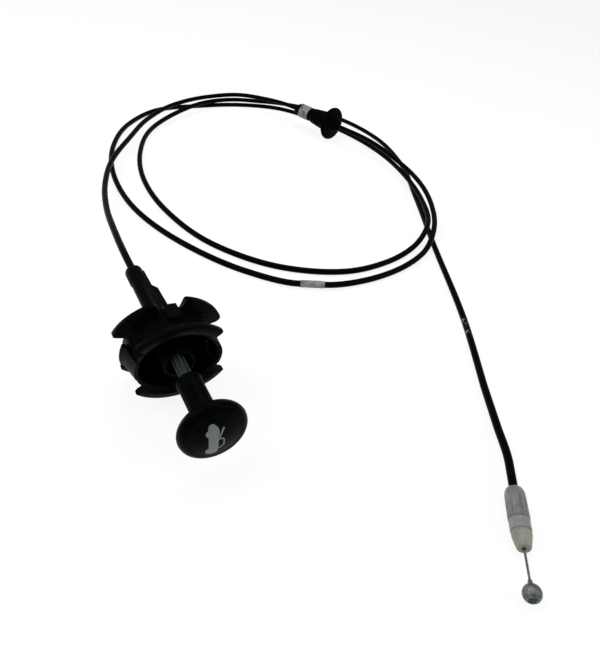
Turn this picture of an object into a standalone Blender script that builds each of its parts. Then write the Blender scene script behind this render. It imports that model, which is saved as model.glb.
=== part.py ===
"""Hood release cable: a pull knob in a raked twist-lock housing, a long conduit laid in a flat
coil with a bulkhead grommet on it, and a moulded end cap with a cast ball on the inner wire.

Metres, +Z up. The pull axis is level and runs along -Y towards the knob. The origin lies on the
floor under the middle of the housing and knob. A "station" is a distance along a turned piece's
own axis, which is its local -Y.
"""
from math import atan2, cos, pi, radians, sin, tan

import bmesh
import bpy
import numpy as np
from mathutils import Matrix, Vector

MM = 0.001

# Gaps
SEAT_GAP = 0.3 * MM          # between pieces that touch
SLIDE_GAP = 0.3 * MM         # round a piece that slides
FLOOR_GAP = 0.1 * MM         # under the pieces that lie on the floor

# Cable
CONDUIT_R = 2.5 * MM
WIRE_R = 0.65 * MM
WIRE_HOLE_R = 1.1 * MM

# Housing: guide tube at the back
TUBE_R = 5.2 * MM
TUBE_HEAD_R = 5.7 * MM
TUBE_HEAD_LEN = 13 * MM
TUBE_LEN = 71.5 * MM         # from its rear end to the back plate
HUB_R = 9.6 * MM
HUB_LEN = 10.5 * MM         # behind the back plate
HUB_PAST = 22 * MM           # on past the cup floor
FIN_HEIGHT = 4.6 * MM
FIN_REACH_REAR = 5.9 * MM
FIN_REACH_FRONT = 8.6 * MM
FIN_STEP = 25 * MM           # where the fin steps out, from the rear end
WEB_T = 2 * MM
WEB_LEN = 20 * MM
WEB_REACH = 18 * MM

# Housing: raked twist-lock body
RAKE = radians(13)           # the dash panel leans back by this from square to the pull axis
PLATE_T = 4 * MM
PANEL_GROOVE = 18 * MM       # between the wings and the flange
NECK_R = 25.2 * MM
NECK_WALL = 2.4 * MM
FLANGE_R = 32 * MM
FLANGE_T = 5 * MM
FLANGE_ROUND_SHARE = 0.23    # of the flange's width
MOUTH_SHARE = 0.5            # of the way from the cup's wall to the flange's edge
MOUTH_DEPTH = 2.8 * MM
WING_R = 33.5 * MM
WING_T = 3.6 * MM
WING_LEAD = 1.2 * MM         # ramp along each wing
UPPER_WING = (15, 73)        # degrees from the top
LOWER_WING = (127, 166)
KEY_R = 28 * MM
KEY_HALF_ANGLE = 8
KEY_REAR = 0.5 * MM          # how far it stands out behind the plate
KEY_FRONT = 9.6 * MM         # how far it runs into the panel groove
RIGHT_NOTCH = (45, 118)      # side notches in the flange, degrees from the top
LEFT_NOTCH = (-133, -51)

# Housing: snap tongues in the notches
TONGUE_MIDDLE = 90
TONGUE_HALF_ANGLE = 17
TONGUE_LEN = 18.2 * MM
TONGUE_T = 2 * MM
LEFT_FLARE = 3.6 * MM
RIGHT_FLARE = 1 * MM
TONGUE_BARB = 0.7 * MM
WINDOW_MARGIN = 2.5          # degrees beside the tongue
WINDOW_END_GAP = 0.9 * MM

# Knob, stem and shaft, as drawn out in the photograph
KNOB_OUT = 44.5 * MM           # from the flange to the back of the knob
KNOB_R = 18.7 * MM
KNOB_T = 13 * MM
KNOB_DOME = 2.2 * MM
KNOB_ROUND = 4.6 * MM
KNOB_BOSS_R = 9.2 * MM
KNOB_BOSS_LEN = 1.8 * MM
KNOB_SOCKET = 9.4 * MM       # how far the stem goes in
STEM_R = 7 * MM
STEM_COLLAR_R = 7.35 * MM
STEM_COLLAR_LEN = 2.4 * MM
STEM_COLLAR_PAST = 14 * MM   # from the flange's front to the collar's rear face
RECESS_FROM = 8.5 * MM       # from the stem's rear end to the middle of the recess
RECESS_LEN = 8.4 * MM
RECESS_WIDTH = 4.4 * MM
RECESS_DEPTH = 1.1 * MM
RECESS_TURN = -25            # degrees from the top
SHAFT_R = 3.8 * MM
SHAFT_CORE_R = 2.5 * MM
SHAFT_RIBS = 8
SHAFT_RIB_T = 1.1 * MM
SHAFT_IN_STEM = 21.7 * MM
SHAFT_LEN = 79.7 * MM
SHAFT_HEAD_LEN = 8 * MM
NIPPLE_R = 1.9 * MM
NIPPLE_LEN = 5.2 * MM
KNOB_WIRE_LEN = 6.5 * MM
STROKE_IN = 40 * MM
STROKE_OUT = 12 * MM

# Seat of the conduit in the guide tube
CONDUIT_SEAT = 5 * MM
BUSH_R = 3.3 * MM
BUSH_LEN = 5 * MM
BORE_END_WALL = 1.2 * MM

# Grommet with its taped boot
GROMMET_AT = (314.5 * MM, 357.7 * MM)
GROMMET_HEADING = radians(20.7)
GROMMET_R = 19 * MM
GROMMET_T = 5 * MM
GROMMET_BORE_R = 3 * MM
BOOT_LEN = 58.5 * MM
BOOT_MOUTH_R = 4.2 * MM
BOOT_CONE_LEN = 7.5 * MM
BOOT_R = 7.6 * MM
BOOT_SHOULDER_R = 11.4 * MM
GROOVE_R = 9.4 * MM
GROOVE_W = 2.4 * MM
NOSE_R = 8 * MM
NOSE_LEN = 7.5 * MM
TAPE_FROM = 8 * MM
TAPE_LEN = 17.6 * MM
TAPE_T = 0.5 * MM

# Bare sticker folded round the conduit
LABEL_AT = (136.3 * MM, 68.7 * MM)
LABEL_HEADING = radians(-109.8)
LABEL_LEN = 19 * MM
LABEL_BORE_R = 2.9 * MM
LABEL_T = 0.4 * MM
LABEL_FLAG = 5 * MM

# End cap, wire and ball, along a level axis that starts at the cap's mouth
CAP_AT = (148.4 * MM, -146.4 * MM)
CAP_HEADING = radians(-35.4)
CAP_AXIS_Z = 5.95 * MM
CAP_MOUTH_R = 4.4 * MM
CAP_R = 5.75 * MM
CAP_SLEEVE_LEN = 20 * MM
CAP_SOCKET = 8.3 * MM
CAP_RING_R = 5.5 * MM
CAP_RING_LEN = 7 * MM
SHANK_R = 3.4 * MM
SHANK_IN = 8 * MM            # how far the tip's shank reaches into the sleeve
TIP_R = 5.25 * MM
TIP_END_R = 3.3 * MM
TIP_LEN = 10 * MM
LINER_BACK = 17.5 * MM       # how far the hollow end of the conduit stands out of the mouth
BALL_R = 4.7 * MM
BALL_FROM_MOUTH = 61 * MM
BALL_NECK_LEN = 2.2 * MM
BALL_NECK_R = 1.15 * MM
BALL_FLAT_R = 3 * MM
BALL_RECESS_R = 2.4 * MM
BALL_RECESS = 0.7 * MM
WIRE_START = -5 * MM         # the wire's hidden end, from the mouth

# What follows from them
BODY_LEN = TUBE_LEN + PLATE_T + PANEL_GROOVE + FLANGE_T + KNOB_OUT + KNOB_T
REAR_Y = BODY_LEN / 2
S_PLATE = TUBE_LEN
S_CUP_FLOOR = S_PLATE + PLATE_T
S_FLANGE = S_CUP_FLOOR + PANEL_GROOVE
S_FRONT = S_FLANGE + FLANGE_T
S_KNOB_BACK = S_FRONT + KNOB_OUT
S_FACE = S_KNOB_BACK + KNOB_T
CUP_R = NECK_R - NECK_WALL
MOUTH_R = CUP_R + MOUTH_SHARE * (FLANGE_R - CUP_R)
FLANGE_ROUND = FLANGE_ROUND_SHARE * (FLANGE_R - NECK_R)
WING_LOW = WING_R * cos(radians(180 - LOWER_WING[1]))
AXIS_Z = max(WING_LOW, FLANGE_R) * cos(RAKE)
S_STEM = S_FRONT + STEM_COLLAR_PAST
S_SOCKET = S_KNOB_BACK - KNOB_BOSS_LEN + KNOB_SOCKET
S_SHAFT = S_STEM + SHAFT_IN_STEM - SHAFT_LEN
STEM_BORE_R = STEM_COLLAR_R + SLIDE_GAP
S_STEM_BORE = S_STEM - STROKE_IN - 2 * SLIDE_GAP
SHAFT_BORE_R = SHAFT_R + SLIDE_GAP
S_BUSH = CONDUIT_SEAT + SEAT_GAP
S_BORE_END = S_BUSH + BUSH_LEN + SEAT_GAP + BORE_END_WALL
CAP_END = CAP_SLEEVE_LEN + CAP_RING_LEN + 2 * SEAT_GAP + TIP_LEN
ORIGIN_OF_PULL = Vector((0, REAR_Y, AXIS_Z))

# The conduit's way over the floor, in millimetres: out of the guide tube and three times round.
# It lies on the floor, rises over the turns that it crosses, and stands off it at the grommet.
ROUTE_TO_GROMMET = [
    (3, 144, 26.5), (9, 196, 18), (20, 251, 12), (40, 310, 8.8), (70, 363, 8.4), (107, 420, 8.4),
    (154, 466, 8.6), (204, 487, 10), (241, 481, 14), (272, 453, 17),
]
ROUTE_TO_LABEL = [
    (337, 307, 17), (345, 258, 13), (341, 211, 11), (319, 155, 9.8), (289, 112, 8.6), (261, 87, 5),
    (227, 72, 2.6), (181, 63, 2.5),
]
ROUTE_TO_CAP = [
    (95, 99, 2.5), (61, 150, 2.5), (38, 218, 2.5), (36, 284, 2.5), (53, 360, 2.5), (86, 422, 2.5),
    (134, 465, 2.5), (188, 475, 2.5), (244, 476, 2.5), (292, 460, 2.5), (327, 414, 2.5),
    (346, 359, 3.2), (349, 302, 5.6), (340, 242, 8.3), (320, 174, 8.2), (291, 124, 8.2),
    (261, 100, 4.6), (225, 85, 2.6), (175, 79, 2.5), (125, 98, 2.5), (84, 144, 2.5), (63, 212, 2.5),
    (62, 280, 2.5), (76, 341, 2.5), (107, 404, 3.2), (150, 442, 7.4), (194, 470, 8.6),
    (236, 484, 6.8), (276, 488, 2.8), (326, 465, 2.5), (365, 411, 2.5), (377, 346, 2.5),
    (364, 275, 2.5), (325, 188, 2.5), (279, 95, 2.5), (228, -11, 2.5), (194, -71, 2.6),
    (175, -104, 4.4),
]
TUBE_POINTS = 80


def heading(angle):
    """Level direction of a piece's local -Y after it is turned by angle about Z."""
    return Vector((sin(angle), -cos(angle), 0))


def material(name, colour, roughness, metallic=0.0):
    mat = bpy.data.materials.new(name)
    mat.use_nodes = True
    shader = mat.node_tree.nodes["Principled BSDF"]
    shader.inputs["Base Color"].default_value = (*colour, 1)
    shader.inputs["Roughness"].default_value = roughness
    shader.inputs["Metallic"].default_value = metallic
    mat.diffuse_color = (*colour, 1)
    return mat


def add_object(name, data):
    obj = bpy.data.objects.new(name, data)
    bpy.context.scene.collection.objects.link(obj)
    return obj


def mesh_object(name, bm):
    """Closes a bmesh into an object, with its faces pointing out."""
    bmesh.ops.remove_doubles(bm, verts=bm.verts, dist=0.001 * MM)
    bmesh.ops.recalc_face_normals(bm, faces=bm.faces)
    mesh = bpy.data.meshes.new(name)
    bm.to_mesh(mesh)
    bm.free()
    return add_object(name, mesh)


def arc(centre, radius, start, end, steps):
    """Points (station, radius) on a circle in the profile plane; 90 degrees points along the axis."""
    points = []
    for i in range(steps + 1):
        angle = radians(start + (end - start) * i / steps)
        points.append((centre[0] + radius * sin(angle), centre[1] + radius * cos(angle)))
    return points


def dome(pole, edge, steps):
    """Points on the shallow arc from a pole on the axis to an edge point."""
    rise = pole[0] - edge[0]
    radius = (edge[1] ** 2 + rise ** 2) / (2 * rise)
    reach = atan2(edge[1], radius - rise)
    points = []
    for i in range(steps):
        angle = reach * i / steps
        points.append((pole[0] - radius * (1 - cos(angle)), radius * sin(angle)))
    return points


def turned(name, profile, steps=48, ring=False):
    """Solid of revolution about the local Y axis from (station, radius) points.

    A ring's profile is a closed loop; any other starts and ends on the axis.
    """
    bm = bmesh.new()
    verts = [bm.verts.new((radius, -station, 0)) for station, radius in profile]
    edges = [bm.edges.new(pair) for pair in zip(verts, verts[1:])]
    if ring:
        edges.append(bm.edges.new((verts[-1], verts[0])))
    bmesh.ops.spin(bm, geom=verts + edges, cent=(0, 0, 0), axis=(0, 1, 0), angle=2 * pi,
                   steps=steps, use_merge=True)
    return mesh_object(name, bm)


def segment(name, profile, start, end, steps, lead=0.0):
    """Part of a ring between two angles from the top, from a closed (station, radius) loop."""
    bm = bmesh.new()
    first = radians(start)
    verts = [bm.verts.new((r * sin(first), -s, r * cos(first))) for s, r in profile]
    face = bm.faces.new(verts)
    bmesh.ops.spin(bm, geom=[face], cent=(0, 0, 0), axis=(0, 1, 0), angle=radians(end - start),
                   steps=steps)
    middle = radians((start + end) / 2)
    half = radians(end - start) / 2
    for vert in bm.verts:
        angle = atan2(vert.co.x, vert.co.z)
        off = (angle - middle + pi) % (2 * pi) - pi
        vert.co.y += lead * (0.5 - 0.5 * off / half)
    return mesh_object(name, bm)


def prism(name, outline, start, end):
    """Outline of (x, z) points, extruded between two stations."""
    bm = bmesh.new()
    face = bm.faces.new([bm.verts.new((x, -start, z)) for x, z in outline])
    made = bmesh.ops.extrude_face_region(bm, geom=[face])
    moved = [item for item in made["geom"] if isinstance(item, bmesh.types.BMVert)]
    bmesh.ops.translate(bm, verts=moved, vec=(0, start - end, 0))
    return mesh_object(name, bm)


def plate(name, outline, thickness, turn=0.0, offset=0.0):
    """Flat web through the axis: (station, reach) outline, turned by an angle from the top."""
    bm = bmesh.new()
    low = offset - thickness / 2
    face = bm.faces.new([bm.verts.new((low, -s, r)) for s, r in outline])
    made = bmesh.ops.extrude_face_region(bm, geom=[face])
    moved = [item for item in made["geom"] if isinstance(item, bmesh.types.BMVert)]
    bmesh.ops.translate(bm, verts=moved, vec=(thickness, 0, 0))
    bmesh.ops.rotate(bm, verts=bm.verts, cent=(0, 0, 0), matrix=Matrix.Rotation(radians(turn), 3, "Y"))
    return mesh_object(name, bm)


def cylinder(name, radius, start, end, steps=48):
    return turned(name, [(end, 0), (end, radius), (start, radius), (start, 0)], steps)


def combine(target, others, operation):
    """Exact Boolean of the target with each of the others, which are used up."""
    for other in others:
        boolean = target.modifiers.new(other.name, "BOOLEAN")
        boolean.operation = operation
        boolean.solver = "EXACT"
        boolean.object = other
    evaluated = target.evaluated_get(bpy.context.evaluated_depsgraph_get())
    mesh = bpy.data.meshes.new_from_object(evaluated)
    target.modifiers.clear()
    target.data = mesh
    for other in others:
        bpy.data.objects.remove(other)
    return target


def fuse(target, *others):
    return combine(target, others, "UNION")


def cut(target, *others):
    return combine(target, others, "DIFFERENCE")


def finish(obj, mat, at=(0, 0, 0), turn=0.0, sharp=35, parent=None):
    """Gives a solid its material, its smooth shading and its place."""
    obj.data.materials.clear()
    obj.data.materials.append(mat)
    obj.data.shade_smooth()
    obj.data.set_sharp_from_angle(angle=radians(sharp))
    obj.location = at
    obj.rotation_euler = (0, 0, turn)
    obj.parent = parent
    return obj


def twist_lock_body():
    """Cup, neck, flange, wings, key and snap tongues, built square and then raked."""
    flange_edge = arc((S_FRONT - FLANGE_ROUND, FLANGE_R - FLANGE_ROUND), FLANGE_ROUND, 90, 0, 4)
    rear_edge = arc((S_FLANGE + FLANGE_ROUND, FLANGE_R - FLANGE_ROUND), FLANGE_ROUND, 0, -90, 4)
    fillet = 1.5 * MM
    floor_fillet = arc((S_CUP_FLOOR + fillet, CUP_R - fillet), fillet, 0, -90, 3)
    profile = (
        [(S_PLATE, 0), (S_PLATE, NECK_R), (S_FLANGE, NECK_R)]
        + rear_edge[::-1] + flange_edge[::-1]
        + [(S_FRONT, MOUTH_R), (S_FRONT - MOUTH_DEPTH, CUP_R)]
        + floor_fillet + [(S_CUP_FLOOR, 0)]
    )
    body = turned("housing", profile, 60)

    wings = []
    wing_front = S_CUP_FLOOR - 0.2 * MM
    wing_profile = [
        (wing_front - WING_T, CUP_R), (wing_front - WING_T, WING_R - 0.6 * MM),
        (wing_front - WING_T + 0.6 * MM, WING_R), (wing_front - 0.6 * MM, WING_R),
        (wing_front, WING_R - 0.6 * MM), (wing_front, CUP_R),
    ]
    for start, end in (UPPER_WING, LOWER_WING):
        steps = round((end - start) / 5)
        wings.append(segment("wing", wing_profile, start, end, steps, WING_LEAD))
        wings.append(segment("wing", wing_profile, -end, -start, steps, WING_LEAD))
    key_profile = [
        (S_PLATE - KEY_REAR, CUP_R), (S_PLATE - KEY_REAR, KEY_R),
        (S_CUP_FLOOR + KEY_FRONT - 2 * MM, KEY_R), (S_CUP_FLOOR + KEY_FRONT, KEY_R - 2 * MM),
        (S_CUP_FLOOR + KEY_FRONT, CUP_R + 1 * MM), (S_PLATE + 0.5 * MM, CUP_R + 1 * MM),
        (S_PLATE + 0.5 * MM, CUP_R),
    ]
    key = segment("key", key_profile, -KEY_HALF_ANGLE, KEY_HALF_ANGLE, 4)
    fuse(body, key, *wings)

    root = S_FRONT - 1.2 * MM
    tip = root - TONGUE_LEN
    for middle, notch_range, flare in (
        (TONGUE_MIDDLE, RIGHT_NOTCH, RIGHT_FLARE), (-TONGUE_MIDDLE, LEFT_NOTCH, LEFT_FLARE),
    ):
        notch_profile = [
            (S_FLANGE - 0.5 * MM, NECK_R - 0.2 * MM), (S_FRONT + 2 * MM, NECK_R - 0.2 * MM),
            (S_FRONT + 2 * MM, FLANGE_R + 2 * MM), (S_FLANGE - 0.5 * MM, FLANGE_R + 2 * MM),
        ]
        notch = segment("notch", notch_profile, *notch_range, 14)
        half = TONGUE_HALF_ANGLE + WINDOW_MARGIN
        window_profile = [
            (tip - WINDOW_END_GAP, CUP_R - 2 * MM), (S_FLANGE - 1 * MM, CUP_R - 2 * MM),
            (S_FLANGE - 1 * MM, NECK_R + 2 * MM), (tip - WINDOW_END_GAP, NECK_R + 2 * MM),
        ]
        window = segment("window", window_profile, middle - half, middle + half, 8)
        cut(body, notch, window)
        inner = NECK_R - TONGUE_T
        tongue_profile = [
            (root, inner + 0.2 * MM), (root, NECK_R), (tip + 4 * MM, NECK_R + flare * 0.75),
            (tip + 2 * MM, NECK_R + flare + TONGUE_BARB), (tip, NECK_R + flare),
            (tip, inner + flare),
        ]
        fuse(body, segment("tongue", tongue_profile, middle - TONGUE_HALF_ANGLE,
                           middle + TONGUE_HALF_ANGLE, 8))

    # Rake: rings keep their size in the leaning plane and their centres on the pull axis.
    raked = Matrix(((1, 0, 0, 0), (0, 1, -sin(RAKE), 0), (0, 0, cos(RAKE), 0), (0, 0, 0, 1)))
    body.data.transform(raked)
    return body


def lean_front(obj):
    """Leans the front end of a square-cut piece, so that it ends inside the leaning back plate."""
    for vert in obj.data.vertices:
        if -vert.co.y > S_PLATE - 3 * MM:
            vert.co.y -= vert.co.z * tan(RAKE)
    return obj


def housing(mat):
    """The whole black moulding: raked body, hub, guide tube with its fin, and the bores."""
    body = twist_lock_body()
    into_plate = S_PLATE + PLATE_T / 2
    head_round = 1.5 * MM
    tube = turned("tube", [
        (into_plate, 0), (into_plate, TUBE_R), (TUBE_HEAD_LEN + 1.5 * MM, TUBE_R),
        (TUBE_HEAD_LEN, TUBE_HEAD_R),
        *arc((head_round, TUBE_HEAD_R - head_round), head_round, 0, -90, 4), (0, 0),
    ], 32)
    hub_front = S_CUP_FLOOR + HUB_PAST
    hub = turned("hub", [
        (hub_front, 0), (hub_front, HUB_R - 0.6 * MM), (hub_front - 0.6 * MM, HUB_R),
        (S_PLATE - HUB_LEN + 1 * MM, HUB_R),
        (S_PLATE - HUB_LEN, HUB_R - 1 * MM), (S_PLATE - HUB_LEN, 0),
    ], 32)
    fin = plate("fin", [
        (4 * MM, TUBE_R / 2), (5.5 * MM, FIN_REACH_REAR - 0.3 * MM), (FIN_STEP - 2 * MM, FIN_REACH_REAR),
        (FIN_STEP + 2 * MM, FIN_REACH_FRONT), (S_PLATE - 8 * MM, FIN_REACH_FRONT + 1 * MM),
        (into_plate, FIN_REACH_FRONT + 6 * MM), (into_plate, TUBE_R / 2),
    ], FIN_HEIGHT, 90, -1 * MM)
    webs = []
    for turn in (0, 180, -90):
        webs.append(plate("web", [
            (S_PLATE - WEB_LEN, TUBE_R / 2 + 1.9 * MM), (S_PLATE - WEB_LEN, TUBE_R + 0.2 * MM),
            (S_PLATE - 2 * MM, WEB_REACH), (into_plate, WEB_REACH), (into_plate, TUBE_R / 2 + 1.9 * MM),
        ], WEB_T, turn))
    fuse(body, *[lean_front(piece) for piece in (tube, fin, *webs)], hub)
    cut(
        body,
        cylinder("stem_bore", STEM_BORE_R, S_STEM_BORE, S_FRONT + 10 * MM),
        cylinder("shaft_bore", SHAFT_BORE_R, S_BORE_END, S_STEM_BORE + 1 * MM, 32),
        cylinder("wire_hole", WIRE_HOLE_R, S_BUSH, S_BORE_END + 1 * MM, 16),
        cylinder("bush_bore", BUSH_R + SEAT_GAP, S_BUSH - SEAT_GAP, S_BORE_END - BORE_END_WALL, 24),
        cylinder("conduit_bore", CONDUIT_R + SEAT_GAP, -1 * MM, CONDUIT_SEAT + SEAT_GAP, 24),
    )
    body.name = "housing"
    return finish(body, mat, ORIGIN_OF_PULL)


def knob(mat, parent):
    rim = (S_FACE - KNOB_DOME - KNOB_ROUND, KNOB_R - KNOB_ROUND)
    profile = (
        dome((S_FACE, 0), (S_FACE - KNOB_DOME, rim[1]), 4)
        + arc(rim, KNOB_ROUND, 90, -90, 12)
        + [(S_KNOB_BACK, KNOB_BOSS_R), (S_KNOB_BACK - KNOB_BOSS_LEN, KNOB_BOSS_R - 0.3 * MM)]
        + [(S_KNOB_BACK - KNOB_BOSS_LEN, STEM_R + SEAT_GAP), (S_SOCKET, STEM_R + SEAT_GAP)]
        + [(S_SOCKET, 0)]
    )
    return finish(turned("knob", profile, 40), mat, parent=parent)


def stem(mat, parent):
    """Hollow stem with a collar, and a shallow oval recess on two sides."""
    end = S_SOCKET - SEAT_GAP
    bore = SHAFT_R + SEAT_GAP
    bore_end = S_STEM + SHAFT_IN_STEM + SEAT_GAP
    body = turned("stem", [
        (end, 0), (end, STEM_R - 0.5 * MM), (end - 0.5 * MM, STEM_R),
        (S_STEM + STEM_COLLAR_LEN + 0.4 * MM, STEM_R), (S_STEM + STEM_COLLAR_LEN, STEM_COLLAR_R),
        (S_STEM + 0.4 * MM, STEM_COLLAR_R), (S_STEM, STEM_COLLAR_R - 0.4 * MM),
        (S_STEM, bore), (bore_end, bore), (bore_end, 0),
    ], 36)
    recesses = []
    for turn in (RECESS_TURN, RECESS_TURN + 180):
        bm = bmesh.new()
        bmesh.ops.create_uvsphere(bm, u_segments=24, v_segments=12, radius=1)
        bmesh.ops.scale(bm, verts=bm.verts, vec=(RECESS_WIDTH / 2, RECESS_LEN / 2, RECESS_DEPTH))
        bmesh.ops.translate(bm, verts=bm.verts, vec=(0, -S_STEM - RECESS_FROM, STEM_R))
        bmesh.ops.rotate(bm, verts=bm.verts, cent=(0, 0, 0),
                         matrix=Matrix.Rotation(radians(turn), 3, "Y"))
        recesses.append(mesh_object("recess", bm))
    cut(body, *recesses)
    body.name = "stem"
    return finish(body, mat, parent=parent)


def pull_shaft(mat, parent):
    """Ribbed shaft with a round head that holds the wire's nipple."""
    outline = []
    for i in range(SHAFT_RIBS):
        middle = 2 * pi * i / SHAFT_RIBS
        for radius, side in ((SHAFT_CORE_R, -1), (SHAFT_R, -1), (SHAFT_R, 1), (SHAFT_CORE_R, 1)):
            angle = middle + side * SHAFT_RIB_T / 2 / radius
            outline.append((radius * sin(angle), radius * cos(angle)))
    body = prism("pull_shaft", outline, S_SHAFT + SHAFT_HEAD_LEN / 2, S_SHAFT + SHAFT_LEN)
    head = cylinder("head", SHAFT_R, S_SHAFT, S_SHAFT + SHAFT_HEAD_LEN, 32)
    fuse(body, head)
    pocket_r = NIPPLE_R + SEAT_GAP
    pocket = cylinder("pocket", pocket_r, S_SHAFT - 1 * MM, S_SHAFT + NIPPLE_LEN + 2 * SEAT_GAP, 24)
    cut(body, pocket)
    body.name = "pull_shaft"
    return finish(body, mat, parent=parent)


def tube_end_pieces(bush_mat, nipple_mat, wire_mat, root, slider):
    """Steel bush at the conduit's end, and the wire's nipple in the shaft's head."""
    outer = BUSH_R
    bush = turned("conduit_bush", [
        (S_BUSH, WIRE_HOLE_R), (S_BUSH, outer - 0.4 * MM), (S_BUSH + 0.4 * MM, outer),
        (S_BUSH + BUSH_LEN, outer), (S_BUSH + BUSH_LEN, WIRE_HOLE_R),
    ], 24, ring=True)
    finish(bush, bush_mat, parent=root)
    nipple_start = S_SHAFT + SEAT_GAP
    nipple = cylinder("wire_nipple", NIPPLE_R, nipple_start, nipple_start + NIPPLE_LEN, 20)
    finish(nipple, nipple_mat, parent=slider)
    wire = cylinder("knob_wire", WIRE_R, S_SHAFT - KNOB_WIRE_LEN, S_SHAFT, 12)
    finish(wire, wire_mat, parent=slider)


def grommet(rubber, tape_mat):
    """Bulkhead grommet: taped boot, shoulder, panel groove, round flange and a short nose."""
    start = -BOOT_LEN
    tape_end = start + TAPE_FROM + TAPE_LEN
    half = GROMMET_T / 2
    rim = arc((0, GROMMET_R - half), half, 90, -90, 8)
    at = (*GROMMET_AT, GROMMET_R + FLOOR_GAP)
    profile = (
        [(NOSE_LEN + half, GROMMET_BORE_R), (NOSE_LEN + half, NOSE_R - 2 * MM), (half, NOSE_R)]
        + rim
        + [(-half, GROOVE_R), (-half - GROOVE_W, GROOVE_R), (-half - GROOVE_W, BOOT_SHOULDER_R)]
        + [(-half - GROOVE_W - 3 * MM, BOOT_SHOULDER_R), (tape_end + 3 * MM, BOOT_R + 0.8 * MM)]
        + [(tape_end + 1 * MM, BOOT_R), (start + BOOT_CONE_LEN, BOOT_R), (start, BOOT_MOUTH_R)]
        + [(start, GROMMET_BORE_R)]
    )
    body = turned("grommet", profile, 36, ring=True)
    finish(body, rubber, at, GROMMET_HEADING)
    inner = BOOT_R + SEAT_GAP
    tape_start = start + TAPE_FROM
    tape = turned("grommet_tape", [
        (tape_end, inner), (tape_end, inner + TAPE_T), (tape_start, inner + TAPE_T), (tape_start, inner),
    ], 32, ring=True)
    finish(tape, tape_mat, at, GROMMET_HEADING)


def label(mat):
    """Bare sticker: a sleeve round the conduit with its glued flag on the floor beside it."""
    outer = LABEL_BORE_R + LABEL_T
    half = LABEL_LEN / 2
    sleeve = cylinder("label_wrap", outer, -half, half, 24)
    low = -outer + 0.1 * MM
    reach = outer + LABEL_FLAG
    flag = prism("flag", [
        (0, low), (reach, low), (reach, low + 2 * LABEL_T), (outer, low + 2 * LABEL_T), (0, -outer / 3),
    ], -half, half)
    fuse(sleeve, flag)
    cut(sleeve, cylinder("label_bore", LABEL_BORE_R, -half - 1 * MM, half + 1 * MM, 24))
    sleeve.name = "label_wrap"
    finish(sleeve, mat, (*LABEL_AT, outer + FLOOR_GAP), LABEL_HEADING)


def end_cap(sleeve_mat, ring_mat, tip_mat):
    """Three moulded pieces on one level axis: sleeve on the conduit, ring and tapered tip."""
    at = (*CAP_AT, CAP_AXIS_Z)
    socket_r = CONDUIT_R + SEAT_GAP
    shank_start = CAP_SLEEVE_LEN - SHANK_IN
    sleeve = turned("cap_sleeve", [
        (0, socket_r), (0, CAP_MOUTH_R - 0.6 * MM), (0.8 * MM, CAP_MOUTH_R + 0.3 * MM),
        (3.5 * MM, CAP_R - 0.25 * MM), (CAP_SLEEVE_LEN - 0.5 * MM, CAP_R),
        (CAP_SLEEVE_LEN, CAP_R - 0.4 * MM), (CAP_SLEEVE_LEN, SHANK_R + SEAT_GAP),
        (shank_start - SEAT_GAP, SHANK_R + SEAT_GAP), (shank_start - SEAT_GAP, WIRE_HOLE_R),
        (CAP_SOCKET + SEAT_GAP, WIRE_HOLE_R), (CAP_SOCKET + SEAT_GAP, socket_r),
    ], 32, ring=True)
    finish(sleeve, sleeve_mat, at, CAP_HEADING)
    ring_start = CAP_SLEEVE_LEN + SEAT_GAP
    ring_end = ring_start + CAP_RING_LEN
    ring = turned("cap_ring", [
        (ring_start, SHANK_R + SEAT_GAP), (ring_start, CAP_RING_R - 0.3 * MM),
        (ring_start + 0.3 * MM, CAP_RING_R), (ring_end - 0.3 * MM, CAP_RING_R),
        (ring_end, CAP_RING_R - 0.3 * MM), (ring_end, SHANK_R + SEAT_GAP),
    ], 32, ring=True)
    finish(ring, ring_mat, at, CAP_HEADING)
    tip_start = ring_end + SEAT_GAP
    tip = turned("cap_tip", [
        (shank_start, WIRE_HOLE_R), (shank_start, SHANK_R), (tip_start, SHANK_R),
        (tip_start, TIP_R - 0.3 * MM), (tip_start + 0.3 * MM, TIP_R), (tip_start + 2.5 * MM, TIP_R),
        (CAP_END - 1.2 * MM, TIP_END_R + 0.5 * MM), (CAP_END - 0.3 * MM, TIP_END_R - 0.2 * MM),
        (CAP_END, TIP_END_R - 0.8 * MM), (CAP_END, WIRE_HOLE_R),
    ], 32, ring=True)
    finish(tip, tip_mat, at, CAP_HEADING)


def ball_and_wire(wire_mat, zinc):
    """The wire out of the cap and the cast ball on it, with a flat recess in its far side."""
    neck = BALL_FROM_MOUTH - BALL_R - BALL_NECK_LEN
    flat = (BALL_R ** 2 - BALL_FLAT_R ** 2) ** 0.5
    blend = 2.4 * MM
    nose = [(BALL_FROM_MOUTH + flat, BALL_FLAT_R), (BALL_FROM_MOUTH + flat, BALL_RECESS_R)]
    floor = BALL_FROM_MOUTH + flat - BALL_RECESS
    back = [(neck, 0), (neck, BALL_NECK_R * 0.8), (neck + 0.6 * MM, BALL_NECK_R)]
    start_station = BALL_FROM_MOUTH - (BALL_R ** 2 - blend ** 2) ** 0.5
    sphere_start = -90 + np.degrees(np.arcsin(blend / BALL_R))
    sphere_end = 90 - np.degrees(np.arcsin(BALL_FLAT_R / BALL_R))
    sphere = arc((BALL_FROM_MOUTH, 0), BALL_R, sphere_start, sphere_end, 12)
    neck_mid = (start_station + neck) / 2
    profile = (
        back + [(neck_mid, (BALL_NECK_R + blend) / 2 - 0.35 * MM)] + sphere + nose[1:]
        + [(floor, BALL_RECESS_R - 0.2 * MM), (floor, 0)]
    )
    at = (*CAP_AT, CAP_AXIS_Z)
    finish(turned("ball", profile, 24), zinc, at, CAP_HEADING)
    wire = cylinder("wire_end", WIRE_R, WIRE_START, neck - SEAT_GAP, 12)
    finish(wire, wire_mat, at, CAP_HEADING)


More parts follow.
